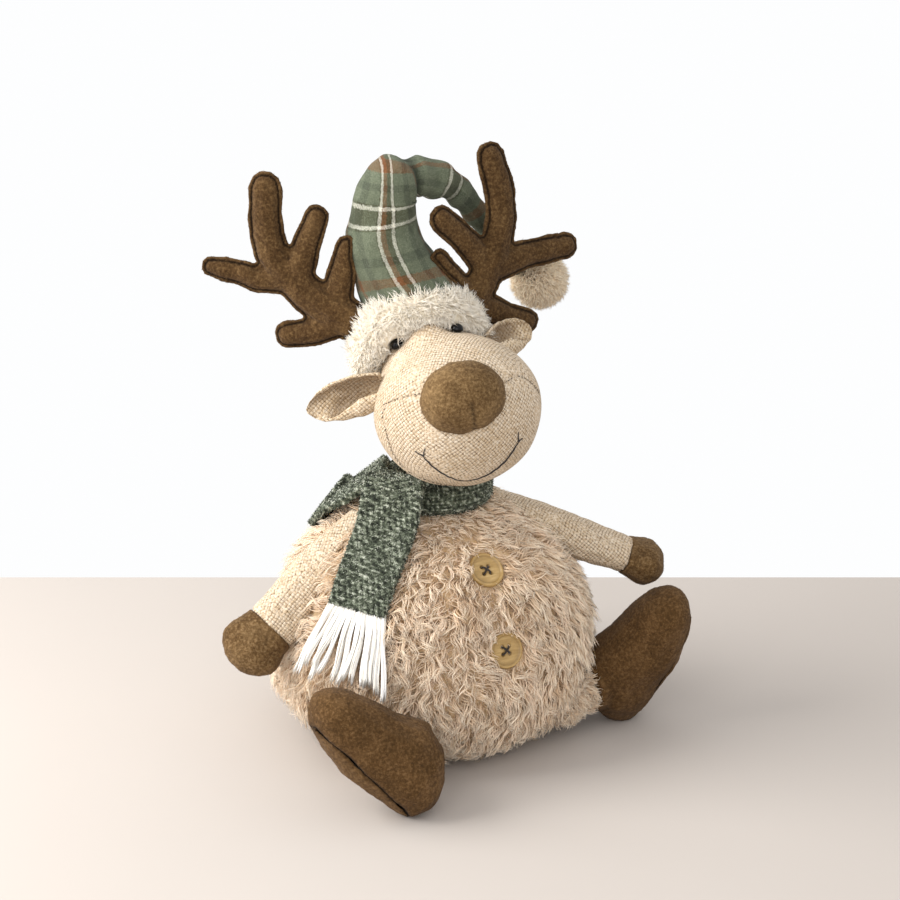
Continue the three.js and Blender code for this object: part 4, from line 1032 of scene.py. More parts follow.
class AddBody(bpy.types.Operator):
    """Cover the body with its backing and its long clumped fur"""
    bl_idname = "deer.body"
    bl_label = "Body fur"

    def execute(self, context):
        sizes = context.scene.deer_sizes
        backing = self.backing()
        # Backing darker than the fur's roots: painted shade deep in the pile.
        cloth = skin("fur_backing", "c9a67c", "ead1ad")
        show("body_backing", backing, cloth, "body", ["body_cover"])
        draw = np.random.default_rng(11)
        roots, facings = self.roots(sizes.fur_locks, draw)
        flow = self.flow(roots, facings, draw)
        lengths = sizes.fur_length * draw.uniform(0.7, 1.2, len(roots)) * (1 + 0.12 * ripple(roots, 30 * MM, 5))
        high = np.clip((roots[:, 2] - NECK_FUR_FROM) / NECK_FUR_FADE, 0, 1)
        lengths *= 1 - 0.3 * high
        paths = pile(roots, facings, flow, lengths, 0.95, 0.85, 1.0, LOCK_STEPS, draw)
        keep_above(paths, 0.7 * MM)
        pressed = ~self.clear(paths, facings)
        starts = paths[:, :1]
        paths[pressed] = (starts + (paths - starts) * PRESSED_SHARE)[pressed]
        free = self.clear(paths, facings)
        self.add_pressed(roots[~free])
        paths, facings, roots = paths[free], facings[free], roots[free]
        tones = np.clip(0.55 + 0.18 * ripple(roots, 24 * MM, 8) + 0.16 * draw.normal(size=len(roots)), 0, 1)
        hairs, ups = bundled(paths, facings, HAIRS_PER_LOCK, 1.6 * MM, draw, 0.7, 0.4 * MM)
        keep_above(hairs, 0.5 * MM)
        widths = taper(LOCK_STEPS, len(hairs), 0.26, 0.3, 0.07) * draw.uniform(0.7, 1.25, (len(hairs), 1))
        widths[::HAIRS_PER_LOCK] *= 1.6
        hair_tones = np.clip(np.repeat(tones, HAIRS_PER_LOCK) + 0.2 * draw.normal(size=len(hairs)), 0, 1)
        show_in_parts("body_fur", FUR_PARTS, hairs, widths, ups, hair_tones, body_coat(), "body")
        self.add_glints(paths, facings, draw)
        return {"FINISHED"}

    def backing(self):
        """The body's form, spun from its outline, with shallow dents."""
        line = body_line(40)
        mesh = mesh_of(spun([(0.0, line[0][1]), *line, (0.0, line[-1][1])], 96), "body_backing")
        points, facings = points_of(mesh), facings_of(mesh)
        dents = ripple(points, 40 * MM, 3) * 0.6 * MM - 0.8 * MM
        moved = points + facings * dents[:, None]
        keep_above(moved, 0)
        move_points(mesh, moved)
        return mesh

    def roots(self, count, draw):
        """Places for the locks, even by area, from the floor to the neck."""
        line = BODY_LINE
        middle = (line[1:] + line[:-1]) / 2
        area = np.linalg.norm(np.diff(line, axis=0), axis=1) * middle[:, 0]
        run = np.concatenate([[0], np.cumsum(area)]) / area.sum()
        shares = (np.arange(count) + 0.5) / count
        heights = np.interp(shares, run, line[:, 1])
        golden_turn = 3 - math.sqrt(5)
        bearings = np.arange(count) * math.pi * golden_turn + draw.normal(size=count) * 0.02
        heights = heights + draw.normal(size=count) * 0.8 * MM
        heights = np.clip(heights, 1.5 * MM, line[-1, 1])
        places, facings = body_at(bearings, heights)
        keep = heights > 2.5 * MM
        return places[keep], facings[keep]

    def flow(self, roots, facings, draw):
        """The way that the fur is brushed: down, swirling in broad patches."""
        down = np.tile([0.0, 0.0, -1.0], (len(roots), 1))
        outward = unit(roots * [1, 1, 0])
        low = np.clip(1 - roots[:, 2] / (22 * MM), 0, 1)[:, None]
        down = level_off(down * (1 - 0.85 * low) + outward * low, facings)
        across = np.cross(facings, down)
        swirl = 0.75 * ripple(roots, 62 * MM, 21) + 0.3 * ripple(roots, 20 * MM, 22)
        swirl = swirl + 0.3 * draw.normal(size=len(roots))
        return down * np.cos(swirl)[:, None] + across * np.sin(swirl)[:, None]

    def add_pressed(self, gaps):
        """Short fur that lies flat where a limb or the scarf presses on the body."""
        draw = np.random.default_rng(13)
        roots, facings = self.roots(PRESSED_ROOTS, draw)
        bare = nearest(roots, gaps) < GAP_REACH
        roots, facings = roots[bare], facings[bare]
        flow = self.flow(roots, facings, draw)
        shares = np.linspace(0, 1, PRESSED_STEPS + 1)
        runs = draw.uniform(4, 7, len(roots))[:, None] * MM * shares
        lifts = (-0.3 + 0.75 * np.sin(shares * math.pi * 0.8)) * MM
        hairs = roots[:, None] + flow[:, None] * runs[:, :, None] + facings[:, None] * lifts[None, :, None]
        keep_above(hairs, 0.4 * MM)
        blocked = keep_out(LIMB_NODES + SCARF_NODES, 0.1 * MM)
        for name in BUTTON_SHARES:
            far = np.linalg.norm(hairs - button_seat(name)[0], axis=2).min(1) > BUTTON_RADIUS
            hairs, facings = hairs[far], facings[far]
        by_legs = keep_out(["leg_left", "leg_right"], LEG_ROOM)
        steps = range(PRESSED_STEPS + 1)
        free = ~np.any([blocked(hairs[:, step]) | by_legs(hairs[:, step]) for step in steps], axis=0)
        hairs, facings = hairs[free], facings[free]
        widths = taper(PRESSED_STEPS, len(hairs), 0.34, 0.36, 0.09)
        tones = tones_about(0.5, 0.2, len(hairs), draw)
        name = "body_pressed_fur"
        show(name, strands(name, hairs, widths, facings, tones), body_coat(), "body")

    def clear(self, paths, facings):
        """Which locks stay clear of the limbs, the scarf and the buttons' faces."""
        blocked = keep_out(LIMB_NODES + SCARF_NODES, 0.4 * MM)
        under = keep_out(["scarf_end_back", "scarf_fringe_back"], 1.2 * MM)
        bad = np.zeros(len(paths), bool)
        for step in LOCK_TESTS:
            bad |= blocked(paths[:, step])
        for step in range(1, paths.shape[1]):
            for depth in SCARF_DEPTHS:
                bad |= under(paths[:, step] - facings * depth * MM)
        for name in BUTTON_SHARES:
            place, facing = button_seat(name)
            for step in range(paths.shape[1]):
                offset = paths[:, step] - place
                along = offset @ facing
                radial = np.linalg.norm(offset - along[:, None] * facing, axis=1)
                reach = BUTTON_RADIUS + (ROOT_ROOM if step < 2 else -TIP_OVERLAP)
                bad |= (radial < reach) & (along > -BUTTON_BEHIND) & (along < BUTTON_AHEAD)
        return ~bad

    def add_glints(self, paths, facings, draw):
        """A few thin shiny hairs between the locks."""
        pick = draw.choice(len(paths), GLINTS, replace=False)
        hairs, ups = bundled(paths[pick], facings[pick], 1, 1.6 * MM, draw, 0.2, 0.7 * MM)
        hairs = hairs + ups[:, None, :] * 1.2 * MM
        keep_above(hairs, 0.5 * MM)
        widths = taper(LOCK_STEPS, GLINTS, 0.13, 0.13, 0.05)
        mesh = strands("body_glints", hairs, widths, ups, draw.uniform(0, 1, GLINTS))
        finish = Finish("glint_hair", roughness=0.35, specular=0.7)
        shine = finish.wear(finish.ramp(finish.attribute("tone"), [(0.0, "c79a55"), (0.5, "f3e3bd"), (1.0, "fff8e8")]))
        show("body_glints", mesh, shine, "body")


class AddHead(bpy.types.Operator):
    """Make the linen head with its seams and its stitched mouth"""
    bl_idname = "deer.head"
    bl_label = "Head"

    def execute(self, context):
        mesh = ball("head_linen", 6)
        places, facings = on_pear(points_of(mesh))
        rise = BROW_RISE * falloff(np.linalg.norm(places - head_spot(BROW_AIM)[0], axis=1), BROW_REACH)
        for aim in EYE_AIMS.values():
            rise *= 1 - falloff(np.linalg.norm(places - head_spot(aim)[0], axis=1), EYE_HOLLOW)
        places += facings * (rise + 0.35 * MM * ripple(places, 34 * MM, 31))[:, None]
        seams = [[head_spot(point)[0] for point in line] for line in HEAD_SEAMS]
        gap = near_lines(places, seams)
        groove, pucker = falloff(gap, 0.75 * MM), falloff(gap, 3.5 * MM)
        places -= facings * (0.55 * MM * groove + 0.35 * MM * pucker)[:, None]
        move_points(mesh, from_head(places))
        # Painted shade in the seams' grooves.
        write_attribute(mesh, "crease", groove * 0.45)
        neck_line = NECK + np.outer(NECK_RISES, [0, 0, 1]) * MM
        neck = swept(tube_rings(neck_line, NECK_RADIUS, 40), "neck")
        cloth = joined([mesh, neck], "head_linen")
        show("head_linen", cloth, linen("head_linen"), "head", ["head_cover"])
        self.add_mouth(context.scene.deer_sizes.thread_radius)
        self.add_stitches(seams)
        return {"FINISHED"}

    def add_stitches(self, seams):
        """Short dark stitches that show along the head's seams."""
        draw = np.random.default_rng(33)
        made = []
        for seam in seams:
            line = smooth_line(np.array(seam), SEAM_ROWS)
            length = length_of(line)
            for start in np.arange(0, length - STITCH_STEP, STITCH_STEP):
                if draw.uniform() < STITCHES_HIDDEN:
                    continue
                run = start + np.linspace(0, STITCH_LENGTH, 5) + draw.uniform(0, 0.4) * MM
                at = np.clip(run / length * (SEAM_ROWS - 1), 0, SEAM_ROWS - 1)
                path = np.stack([np.interp(at, np.arange(SEAM_ROWS), line[:, axis]) for axis in range(3)], 1)
                places, facings = on_pear(path)
                lift = np.array([-0.5, -0.12, 0.02, -0.12, -0.5]) * MM
                made.append(stitch(from_head(places + facings * lift[:, None]), 0.2 * MM, 5))
        show("seam_stitches", joined(made, "seam_stitches"), thread("seam_thread", "4a3826"), "head")

    def add_mouth(self, radius):
        """Thread in a running line over the muzzle, with a forked stitch at each end."""
        made = []
        lines = [smooth_line(np.array(MOUTH), 90)] + [smooth_line(np.array(end), 12) for end in MOUTH_ENDS]
        for at, line in enumerate(lines):
            places, facings = on_pear(line)
            run = np.arange(len(line))
            lift = 0.32 * MM + (0.22 * MM * np.abs(np.sin(run * 0.55)) if at == 0 else 0)
            weave = np.cross(unit(np.gradient(places, axis=0)), facings) * (0.16 * MM * np.sin(run * 0.8))[:, None]
            path = from_head(places + facings * np.reshape(lift, (-1, 1)) + weave)
            both_ends = np.interp(run / run[-1], [0, 0.05, 0.95, 1], [0.5, 1, 1, 0.5])
            made.append(stitch(path, radius * (both_ends if at == 0 else np.linspace(1, 0.5, len(run))), 7))
        show("mouth_thread", joined(made, "mouth_thread"), thread("mouth_thread", "2e211a"), "head")


class AddNose(bpy.types.Operator):
    """Make the stuffed felt nose with its short seam"""
    bl_idname = "deer.nose"
    bl_label = "Nose"

    def execute(self, context):
        mesh = ball("nose_felt", 5)
        aims = points_of(mesh)
        centre = unit(NOSE_AIM) * (MUZZLE_RADIUS - NOSE_SINK)
        places = aims * NOSE_RADII
        facings = unit(aims / NOSE_RADII)
        gap = near_lines(places, [np.array(NOSE_SEAM) * MM])
        groove, pull = falloff(gap, 0.8 * MM), falloff(gap, 5 * MM)
        places += facings * (0.28 * MM * ripple(places, 12 * MM, 41) + 0.08 * MM * ripple(places, 3 * MM, 42)
                             - 0.8 * MM * groove - 0.6 * MM * pull)[:, None]
        # Painted shade in the seam's groove and towards the back edge, where the nose meets the head.
        edge = falloff(places[:, 1] - 9 * MM, 4 * MM)
        write_attribute(mesh, "crease", np.clip(groove * 0.9 + 0.1 * edge, 0, 1))
        move_points(mesh, from_head(places + centre))
        material = felt("nose_felt", "4d3820", "6f5637", "9c8059", "1f140a")
        show("nose_felt", mesh, material, "head", ["nose"])
        add_felt_fuzz("nose_fuzz", mesh, 1500, "a98d66", "head", 43)
        return {"FINISHED"}


class AddEyes(bpy.types.Operator):
    """Make the two glossy eyes"""
    bl_idname = "deer.eyes"
    bl_label = "Eyes"

    def execute(self, context):
        black = gloss("eye_black", "050506")
        for side in SIDES:
            place, facing = head_spot(EYE_AIMS[side])
            arc = np.linspace(-0.45 * math.pi, 0.5 * math.pi, 18)
            dome = [(EYE_RADIUS * math.cos(a), EYE_RADIUS * (0.85 if a > 0 else 0.5) * math.sin(a)) for a in arc]
            form = spun([(0, -EYE_DEPTH), *dome], 40)
            turn = Vector((0, 0, 1)).rotation_difference(Vector(facing)).to_matrix()
            bmesh.ops.rotate(form, verts=form.verts, matrix=turn)
            name = f"eye_bead_{side}"
            mesh = mesh_of(form, name)
            move_points(mesh, from_head(points_of(mesh) + place + facing * 2.2 * MM + EYE_SHIFT))
            show(name, mesh, black, "head", [f"eye_{side}"])
        return {"FINISHED"}


class AddEars(bpy.types.Operator):
    """Make the linen ears, each folded lengthwise into a cup"""
    bl_idname = "deer.ears"
    bl_label = "Ears"

    def execute(self, context):
        cloth = linen("ear_linen", "cfb795")
        for side, facts in EARS.items():
            mesh = self.leaf(facts)
            swell(mesh, 0.25 * MM * ripple(points_of(mesh), 13 * MM, 51))
            # Painted shade in the fold's hollow and other creases.
            write_creases(mesh, 0.16 * MM)
            show(f"ear_linen_{side}", mesh, cloth, "head", [f"ear_{side}"])
        return {"FINISHED"}

    def leaf(self, facts):
        """A closed leaf of cloth: its upper edge stands up, and its lower one folds over the hollow near the head."""
        aim = unit(np.array(facts["aim"]))
        wide = square_to(np.array(facts["wide"]), aim)
        front = facts["front"] * np.cross(aim, wide)
        root = head_spot(facts["root"])[0] - aim * 4 * MM
        rings = []
        for share in np.linspace(0, 1, 44):
            half = facts["half"] * MM * np.interp(share, *EAR_WIDTHS)
            folded = np.clip((0.82 - share) / 0.5, 0, 1)
            section = smooth_line(EAR_OPEN + folded * (EAR_FOLDED - EAR_OPEN), 25) * half
            bend = -3.5 * MM * math.sin(math.pi * share)
            middle = root + aim * facts["length"] * MM * share + front * bend
            slope = unit(np.gradient(section, axis=0))
            out = np.column_stack([slope[:, 1], -slope[:, 0]])
            edge = np.sqrt(1 - 0.85 * np.linspace(-1, 1, 25) ** 4)[:, None]
            thick = out * edge * 1.5 * MM * min(1, 0.25 + 4 * (1 - share))
            outline = np.vstack([section + thick, (section - thick)[::-1]])
            rings.append(middle + np.outer(outline[:, 0], wide) + np.outer(outline[:, 1], front))
        return swept([from_head(ring) for ring in rings], "ear")


class AddAntlers(bpy.types.Operator):
    """Make the stuffed felt antlers with their sewn edges"""
    bl_idname = "deer.antlers"
    bl_label = "Antlers"

    def execute(self, context):
        material = felt("antler_felt", "352412", "523b22", "79603f", "120a04")
        for side in SIDES:
            mesh = softened(f"antler_{side}", 0.85 * MM, 9)
            points = points_of(mesh)
            groove = self.seam(points, facings_of(mesh))
            folds = 0.3 * MM + 0.35 * MM * ripple(points, 17 * MM, 61) + 0.1 * MM * ripple(points, 4 * MM, 62)
            swell(mesh, folds - 0.8 * MM * groove)
            # Painted shade in folds, and deeper in the sewn groove.
            write_creases(mesh, 0.9 * MM, 6)
            deepen_creases(mesh, groove)
            show(f"antler_felt_{side}", mesh, material, "head", [f"antler_{side}"])
            add_felt_fuzz(f"antler_fuzz_{side}", mesh, 2600, "80633f", "head", 63)
        return {"FINISHED"}

    def seam(self, points, facings):
        """How deep in the sewn groove each point lies, by its distance from the antler's rim."""
        middle = points.mean(0)
        flat = np.linalg.svd((points - middle)[::7], full_matrices=False)[2][2]
        rim = points[np.abs(facings @ flat) < 0.3]
        return falloff(nearest(points, rim) - SEAM_INSET, 0.65 * MM)


class AddHat(bpy.types.Operator):
    """Make the tartan hat: one cloth from the cuff over the fold to the end of the tail"""
    bl_idname = "deer.hat"
    bl_label = "Hat"

    def execute(self, context):
        rings, radii = self.rings()
        mesh = swept(rings, "hat_tartan")
        self.write_pattern(mesh, rings, radii)
        points = points_of(mesh)
        dents = 0.6 * MM * ripple(points, 26 * MM, 71) + 0.22 * MM * ripple(points, 9 * MM, 72)
        beyond = np.repeat(np.arange(len(rings)), HAT_SIDES) - CREASE_STEP
        fold = 1.3 * MM * falloff(beyond + 4, 4) - 3.2 * MM * falloff(beyond - 1, 2.6)
        tucks = 0.7 * MM * np.sin(beyond * 0.55) * ((beyond > 4) & (beyond < 40))
        swell(mesh, dents + (fold + tucks))
        # Painted shade in the folds, the tucks and the crease of the fold.
        write_creases(mesh, 0.5 * MM, 5)
        mesh.name = "hat_tartan"
        mesh.materials.append(tartan("hat_tartan"))
        mesh.shade_smooth()
        item = bpy.data.objects.new("hat_tartan", mesh)
        context.scene.collection.objects.link(item)
        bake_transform(item)
        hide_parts("hat_cone", "hat_tail")
        return {"FINISHED"}

    def rings(self):
        """Rings up the cone, round the pinch of the fold and along the tail, in the toy's frame."""
        guide = []
        for across, back, up, wide, deep, lean in HAT_RINGS:
            tilt = math.radians(lean)
            guide.append([across, back, up, wide, deep, 0, 20 * math.sin(tilt), 20 * math.cos(tilt)])
        tail = np.array(TAIL_LINE)
        line = np.vstack([HAT_RINGS[-1][:3], tail, 2 * tail[-1] - tail[-2]])
        for at, (place, radius) in enumerate(zip(tail, TAIL_RADII)):
            guide.append([*place, radius, radius, *(20 * unit(line[at + 2] - line[at]))])
        angles = np.linspace(0, 2 * math.pi, HAT_SIDES, endpoint=False)
        wide = np.array([1.0, 0, 0])
        rings, radii = [], []
        for row in smooth_line(np.array(guide), 150):
            facing = unit(row[5:8])
            wide = square_to(wide, facing)
            deep = np.cross(facing, wide)
            ring = row[:3] + row[3] * np.outer(np.cos(angles), wide) + row[4] * np.outer(np.sin(angles), deep)
            rings.append(from_head(ring * MM))
            radii.append((row[3] + row[4]) / 2 * MM)
        tip = rings[-1]
        rings.append(tip.mean(0) + (tip - tip.mean(0)) * 0.35)
        radii.append(radii[-1])
        return np.array(rings), np.array(radii)

    def write_pattern(self, mesh, rings, radii):
        """Cloth coordinates in setts, which start again beyond the fold, where the tail comes out from behind it."""
        front = round(STRIPE_BEARING / 360 * HAT_SIDES)
        middles = rings.mean(1)
        run, tail_run = run_of(rings[:, front]), run_of(middles)
        sides = (np.arange(HAT_SIDES) - front + HAT_SIDES // 2) % HAT_SIDES - HAT_SIDES // 2
        axis = HEAD_TURN @ unit(np.array([0.22, 0, 0.975]))
        ahead = square_to(unit(rings[STRAIGHT_STEP, front] - middles[STRAIGHT_STEP]), axis)
        aside = np.cross(axis, ahead)
        away = rings - middles[STRAIGHT_STEP]
        straight = np.clip((np.arange(len(rings)) - STRAIGHT_STEP + 4) / 16, 0, 1)[:, None]
        along = run[:, None] + straight * (run[STRAIGHT_STEP] + away @ axis - run[:, None])
        level = np.clip(away @ axis / (31 * MM), 0, 1)
        reach = radii[:, None]
        round_it = sides * 2 * math.pi / HAT_SIDES * reach
        across_it = away @ aside * (1 + 0.7 * level)
        around = (round_it + straight * (across_it - round_it)) / TARTAN_AROUND + 0.5
        jump = 2 * math.pi * reach * (1 - straight) / TARTAN_AROUND
        cone = np.stack([around, (along - TARTAN_START) / TARTAN_SETT], 2)
        tail = np.stack([0.15 + (sides - TAIL_FRONT) * 2 * math.pi / HAT_SIDES * radii[:, None] / TARTAN_AROUND,
                         np.tile((0.58 + (tail_run - tail_run[TAIL_PAIR_STEP]) / TARTAN_SETT)[:, None], HAT_SIDES)], 2)
        step = np.zeros(len(mesh.vertices), np.int32)
        side = np.zeros(len(mesh.vertices), np.int32)
        mesh.attributes["step"].data.foreach_get("value", step)
        mesh.attributes["side"].data.foreach_get("value", side)
        corner = np.zeros(len(mesh.loops), np.int32)
        mesh.loops.foreach_get("vertex_index", corner)
        cloth = np.zeros((len(mesh.loops), 2))
        for face in mesh.polygons:
            here = slice(face.loop_start, face.loop_start + face.loop_total)
            steps, places = step[corner[here]], side[corner[here]]
            source = cone if steps.min() < CREASE_STEP else tail
            cloth[here] = source[steps, places]
            if face.loop_total == 4 and np.ptp(sides[places]) > HAT_SIDES / 2:
                gap = jump[steps, 0] if source is cone else 2 * math.pi * radii[steps] / TARTAN_AROUND
                cloth[here, 0] += np.where(sides[places] < 0, gap, 0)
        layer = mesh.uv_layers.new(name="cloth")
        layer.data.foreach_set("uv", cloth.astype(np.float32).ravel())
        for name in ("step", "side"):
            mesh.attributes.remove(mesh.attributes[name])


class AddHatFur(bpy.types.Operator):
    """Make the hat's furry cuff and its furry ball"""
    bl_idname = "deer.hat_fur"
    bl_label = "Hat fur"

    def execute(self, context):
        sizes = context.scene.deer_sizes
        # The backing, a little darker than the pile's roots, is painted shade deep in the pile.
        backing = skin("cream_backing", "f0e4cc", "fbf5e8")
        # Darker roots and paler tips: partly painted shade deep in the pile, partly painted highlight on the tips.
        coat = fur("cream_fur", "f8ecd5", "fff6e6", "fffaf0", "fff1dc", "eddcbd")
        warm = fur("ball_fur", "e6cba3", "f7e3c3", "fff3dd", "fbe2bf", "d2ae80")
        cuff = softened("hat_cuff", 1.3 * MM, 6)
        draw = np.random.default_rng(81)
        roots, facings = scattered(cuff, CUFF_ROOTS, 82)
        self.add_cuff_pile(roots, facings, sizes.cuff_pile, coat, draw)
        show("cuff_backing", cuff, backing, "head", ["hat_cuff"])
        # The ball's backing, darker than its pile, is painted shade at the ball's core.
        self.add_ball(sizes.pompom_pile, skin("ball_backing", "bb9c74", "dcc5a1"), warm)
        return {"FINISHED"}

    def add_cuff_pile(self, roots, facings, length, coat, draw):
        """Hairs that fan out over both edges of the cuff and leave the eyes uncovered."""
        axis = HEAD_TURN @ np.array([0, math.sin(CUFF_LEAN), math.cos(CUFF_LEAN)])
        centre = from_head([CUFF])[0]
        outward = roots - centre
        radial = unit(outward - (outward @ axis)[:, None] * axis)
        above = (roots - centre) @ axis > 0
        keep = (facings * radial).sum(1) > np.where(above, -0.85, -0.35)
        roots, facings, radial = roots[keep], facings[keep], radial[keep]
        height = (roots - centre) @ axis
        fan = np.where(height > 0, 1.0, -1.0)[:, None] * axis * np.clip(np.abs(height) / (9 * MM), 0, 1)[:, None]
        flow = fan * 0.9 + radial * 0.25 + 0.35 * draw.normal(size=roots.shape)
        lengths = length * draw.uniform(0.7, 1.2, len(roots))
        paths = pile(roots - facings * 0.6 * MM, facings, flow, lengths, 1.1, 0.5, 0.4, PILE_STEPS, draw)
        covered = np.zeros(len(paths), bool)
        for side, room in EYE_ROOM.items():
            eye, facing = head_spot(EYE_AIMS[side])
            facing = HEAD_TURN @ facing
            away = paths - from_head([eye])[0]
            along = away @ facing
            aside = np.linalg.norm(away - along[:, :, None] * facing, axis=2)
            covered |= ((aside < EYE_RADIUS + room) & (along > -EYE_BEHIND) & (along < EYE_AHEAD)).any(1)
        hair, ups = bundled(paths[~covered], facings[~covered], 3, 0.8 * MM, draw, 0.5, 0.35 * MM)
        tones = tones_about(0.55, 0.16, len(hair), draw)
        widths = taper(PILE_STEPS, len(hair), 0.27, 0.24, 0.05)
        show_in_parts("cuff_pile", CUFF_PARTS, hair, widths, ups, tones, coat, "head")

    def add_ball(self, length, backing, coat):
        """The ball's backing, and its hairs in a slight swirl."""
        mesh = ball("ball_backing", 4, POMPOM_RADIUS - length * 0.75)
        move_points(mesh, points_of(mesh) + from_head([POMPOM])[0])
        roots, facings = scattered(mesh, BALL_ROOTS, 91)
        draw = np.random.default_rng(92)
        flow = np.cross(facings, unit(draw.normal(size=3))) + 0.6 * draw.normal(size=roots.shape) + [0, 0, -0.6]
        lengths = length * draw.uniform(0.75, 1.15, len(roots))
        paths = pile(roots, facings, flow, lengths, 1.7, 0.55, 0.5, PILE_STEPS, draw)
        hair, ups = bundled(paths, facings, 2, 0.6 * MM, draw, 0.6, 0.25 * MM)
        tones = tones_about(0.5, 0.22, len(hair), draw)
        pile_mesh = strands("ball_pile", hair, taper(PILE_STEPS, len(hair), 0.4, 0.36, 0.08), ups, tones)
        show("ball_backing", mesh, backing, "hat_tail", ["hat_pompom"])
        show("ball_pile", pile_mesh, coat, "hat_tail")


class AddScarf(bpy.types.Operator):
    """Make the chenille scarf and its yarn fringes"""
    bl_idname = "deer.scarf"
    bl_label = "Scarf"

    def execute(self, context):
        knit = chenille("scarf_chenille")
        white = yarn("fringe_yarn", "ece8e0", "cdc6bb")
        band = softened("scarf_neck_band", 1.1 * MM, 5)
        self.knit(band, None)
        show("scarf_band_knit", band, knit, "body", ["scarf_neck_band"])
        self.add_fuzz("scarf_band_fuzz", band, 5000, knit, 101)
        for end, facts in SCARF_ENDS.items():
            cloth = softened(f"scarf_end_{end}", 0.9 * MM, 4)
            line = smooth_line(np.array(facts["line"]) * MM, 240)
            self.knit(cloth, line)
            item = show(f"scarf_{end}_knit", cloth, knit, "body", [f"scarf_end_{end}"])
            fuzz = self.add_fuzz(f"scarf_{end}_fuzz", cloth, 9000, knit, 102)
            fringe = self.add_fringe(end, facts, line, white, context.scene.deer_sizes.yarn_radius)
        return {"FINISHED"}

    def knit(self, mesh, line):
        """Presses rows of loops into the cloth and mottles it, with a tone that is lighter on the rows and darker
        between them as painted shade.
        """
        points = points_of(mesh)
        if line is None:
            run = points[:, 2]
            cross = np.arctan2(points[:, 0] - NECK[0], NECK[1] - points[:, 1]) * NECK_REACH
        else:
            tree = tree_of(line)
            row = np.array([tree.find(point)[1] for point in points])
            run = row / (len(line) - 1) * length_of(line)
            tangents = unit(np.gradient(line, axis=0))[row]
            level = unit(np.column_stack([-line[row, 1], line[row, 0], np.zeros(len(row))]))
            cross = ((points - line[row]) * level_off(level, tangents)).sum(1)
        rows = np.sin(run * 2 * math.pi / SCARF_ROW + 0.8 * ripple(points, 14 * MM, 103))
        loops = np.sin(cross * 2 * math.pi / SCARF_LOOP + 1.2 * ripple(points, 9 * MM, 104))
        lumps = 0.25 * rows + 0.12 * rows * loops + 0.25 * ripple(points, 4.2 * MM, 105)
        swell(mesh, lumps * MM * 0.8)
        # Painted shade: the tone follows the rows, lighter where they stand up and darker between them, over a random
        # mottle.
        write_attribute(mesh, "tone", np.clip(0.42 + 0.16 * rows + 0.28 * ripple(points, 3.4 * MM, 106), 0, 1))

    def add_fuzz(self, name, mesh, count, material, seed):
        """Short velvety pile over the knit, light and dark in small patches."""
        draw = np.random.default_rng(seed)
        roots, facings = scattered(mesh, count, seed + 1)
        flow = unit(draw.normal(size=roots.shape)) + [0, 0, -0.3]
        lengths = draw.uniform(1.0, 2.1, count) * MM
        paths = pile(roots - facings * 0.2 * MM, facings, flow, lengths, 1.4, 0.7, 0.5, 2, draw)
        arm = points_of(softened("arm_right", 2 * MM, 2)) - SHOULDERS["right"]
        raised = arm @ turn_about((0, 1, 0), ARM_RAISE).T + SHOULDERS["right"]
        room = (nearest(paths[:, -1], raised) > ARM_ROOM) & (nearest(roots, raised) > ARM_ROOM)
        paths, facings, roots, count = paths[room], facings[room], roots[room], int(room.sum())
        spots = np.clip(0.5 + 0.3 * ripple(roots, 3.4 * MM, 106) + 0.25 * draw.normal(size=count), 0, 1)
        mesh = strands(name, paths, taper(2, count, 0.3, 0.36, 0.1), facings, spots)
        return show(name, mesh, material, "body")

    def add_fringe(self, end, facts, line, material, radius):
        """Locks of fine yarn that fan out below the cloth."""
        draw = np.random.default_rng(facts["seed"])
        tangent = unit(line[-1] - line[-8])
        centre = line[-1] - tangent * 1.5 * MM
        wide = square_to(unit(np.array([-centre[1], centre[0], 0])), tangent)
        thick = np.cross(wide, tangent)
        thick *= np.sign(thick @ unit(centre * [1, 1, 0])) or 1
        aim = unit(np.array(facts["aim"]))
        locks = FRINGE_LOCKS
        count = locks * YARNS_PER_LOCK
        lock = np.repeat(np.arange(locks), YARNS_PER_LOCK)
        top = np.clip(np.linspace(-1, 1, count) + draw.normal(size=count) * 0.02, -1, 1)
        foot = (np.linspace(-1, 1, locks) + draw.normal(size=locks) * 0.09)[lock]
        length = facts["length"] * MM * draw.uniform(0.84, 1.04, locks)[lock] * draw.uniform(0.9, 1.0, count)
        run = np.linspace(0, 1, YARN_STEPS + 1)
        gather = run ** 0.9
        angle = draw.uniform(0, 2 * math.pi, count)
        reach = np.sqrt(draw.uniform(0, 1, count)) * 2.1 * MM
        lateral = top[:, None] * SCARF_WIDTH / 2 * (1 - gather) + foot[:, None] * FRINGE_SPREAD / 2 * gather
        lateral = lateral + (np.cos(angle) * reach)[:, None] * gather
        swing = draw.uniform(0, 6.3, locks)[lock][:, None]
        lateral = lateral + 1.5 * MM * np.sin(run * 2 * math.pi * 0.9 + swing) * run
        lateral = lateral + 0.3 * MM * np.sin(run * 12 + draw.uniform(0, 6.3, count)[:, None]) * run
        depth = (np.sin(angle) * reach)[:, None] * (0.3 + 0.7 * gather) + 1.5 * MM * np.cos(run * 3 + swing * 1.7) * run
        paths = (centre + (run[None, :] * length[:, None])[:, :, None] * aim
                 + lateral[:, :, None] * wide + depth[:, :, None] * thick)
        out = paths * [1, 1, 0]
        body = np.interp(paths[:, :, 2], BODY_LINE[:, 1], BODY_LINE[:, 0]) + 1.2 * MM
        paths = paths + unit(out) * np.maximum(body - np.linalg.norm(out, axis=2), 0)[:, :, None]
        widths = np.tile(np.interp(run, [0, 0.9, 1], [1, 0.9, 0.3]), (count, 1)) * radius
        widths = widths * draw.uniform(0.8, 1.25, (count, 1))
        name = f"fringe_yarn_{end}"
        mesh = strands(name, paths, widths, np.tile(thick, (count, 1)), draw.uniform(0.2, 1, count), sides=5)
        return show(name, mesh, material, "body", [f"scarf_fringe_{end}"])


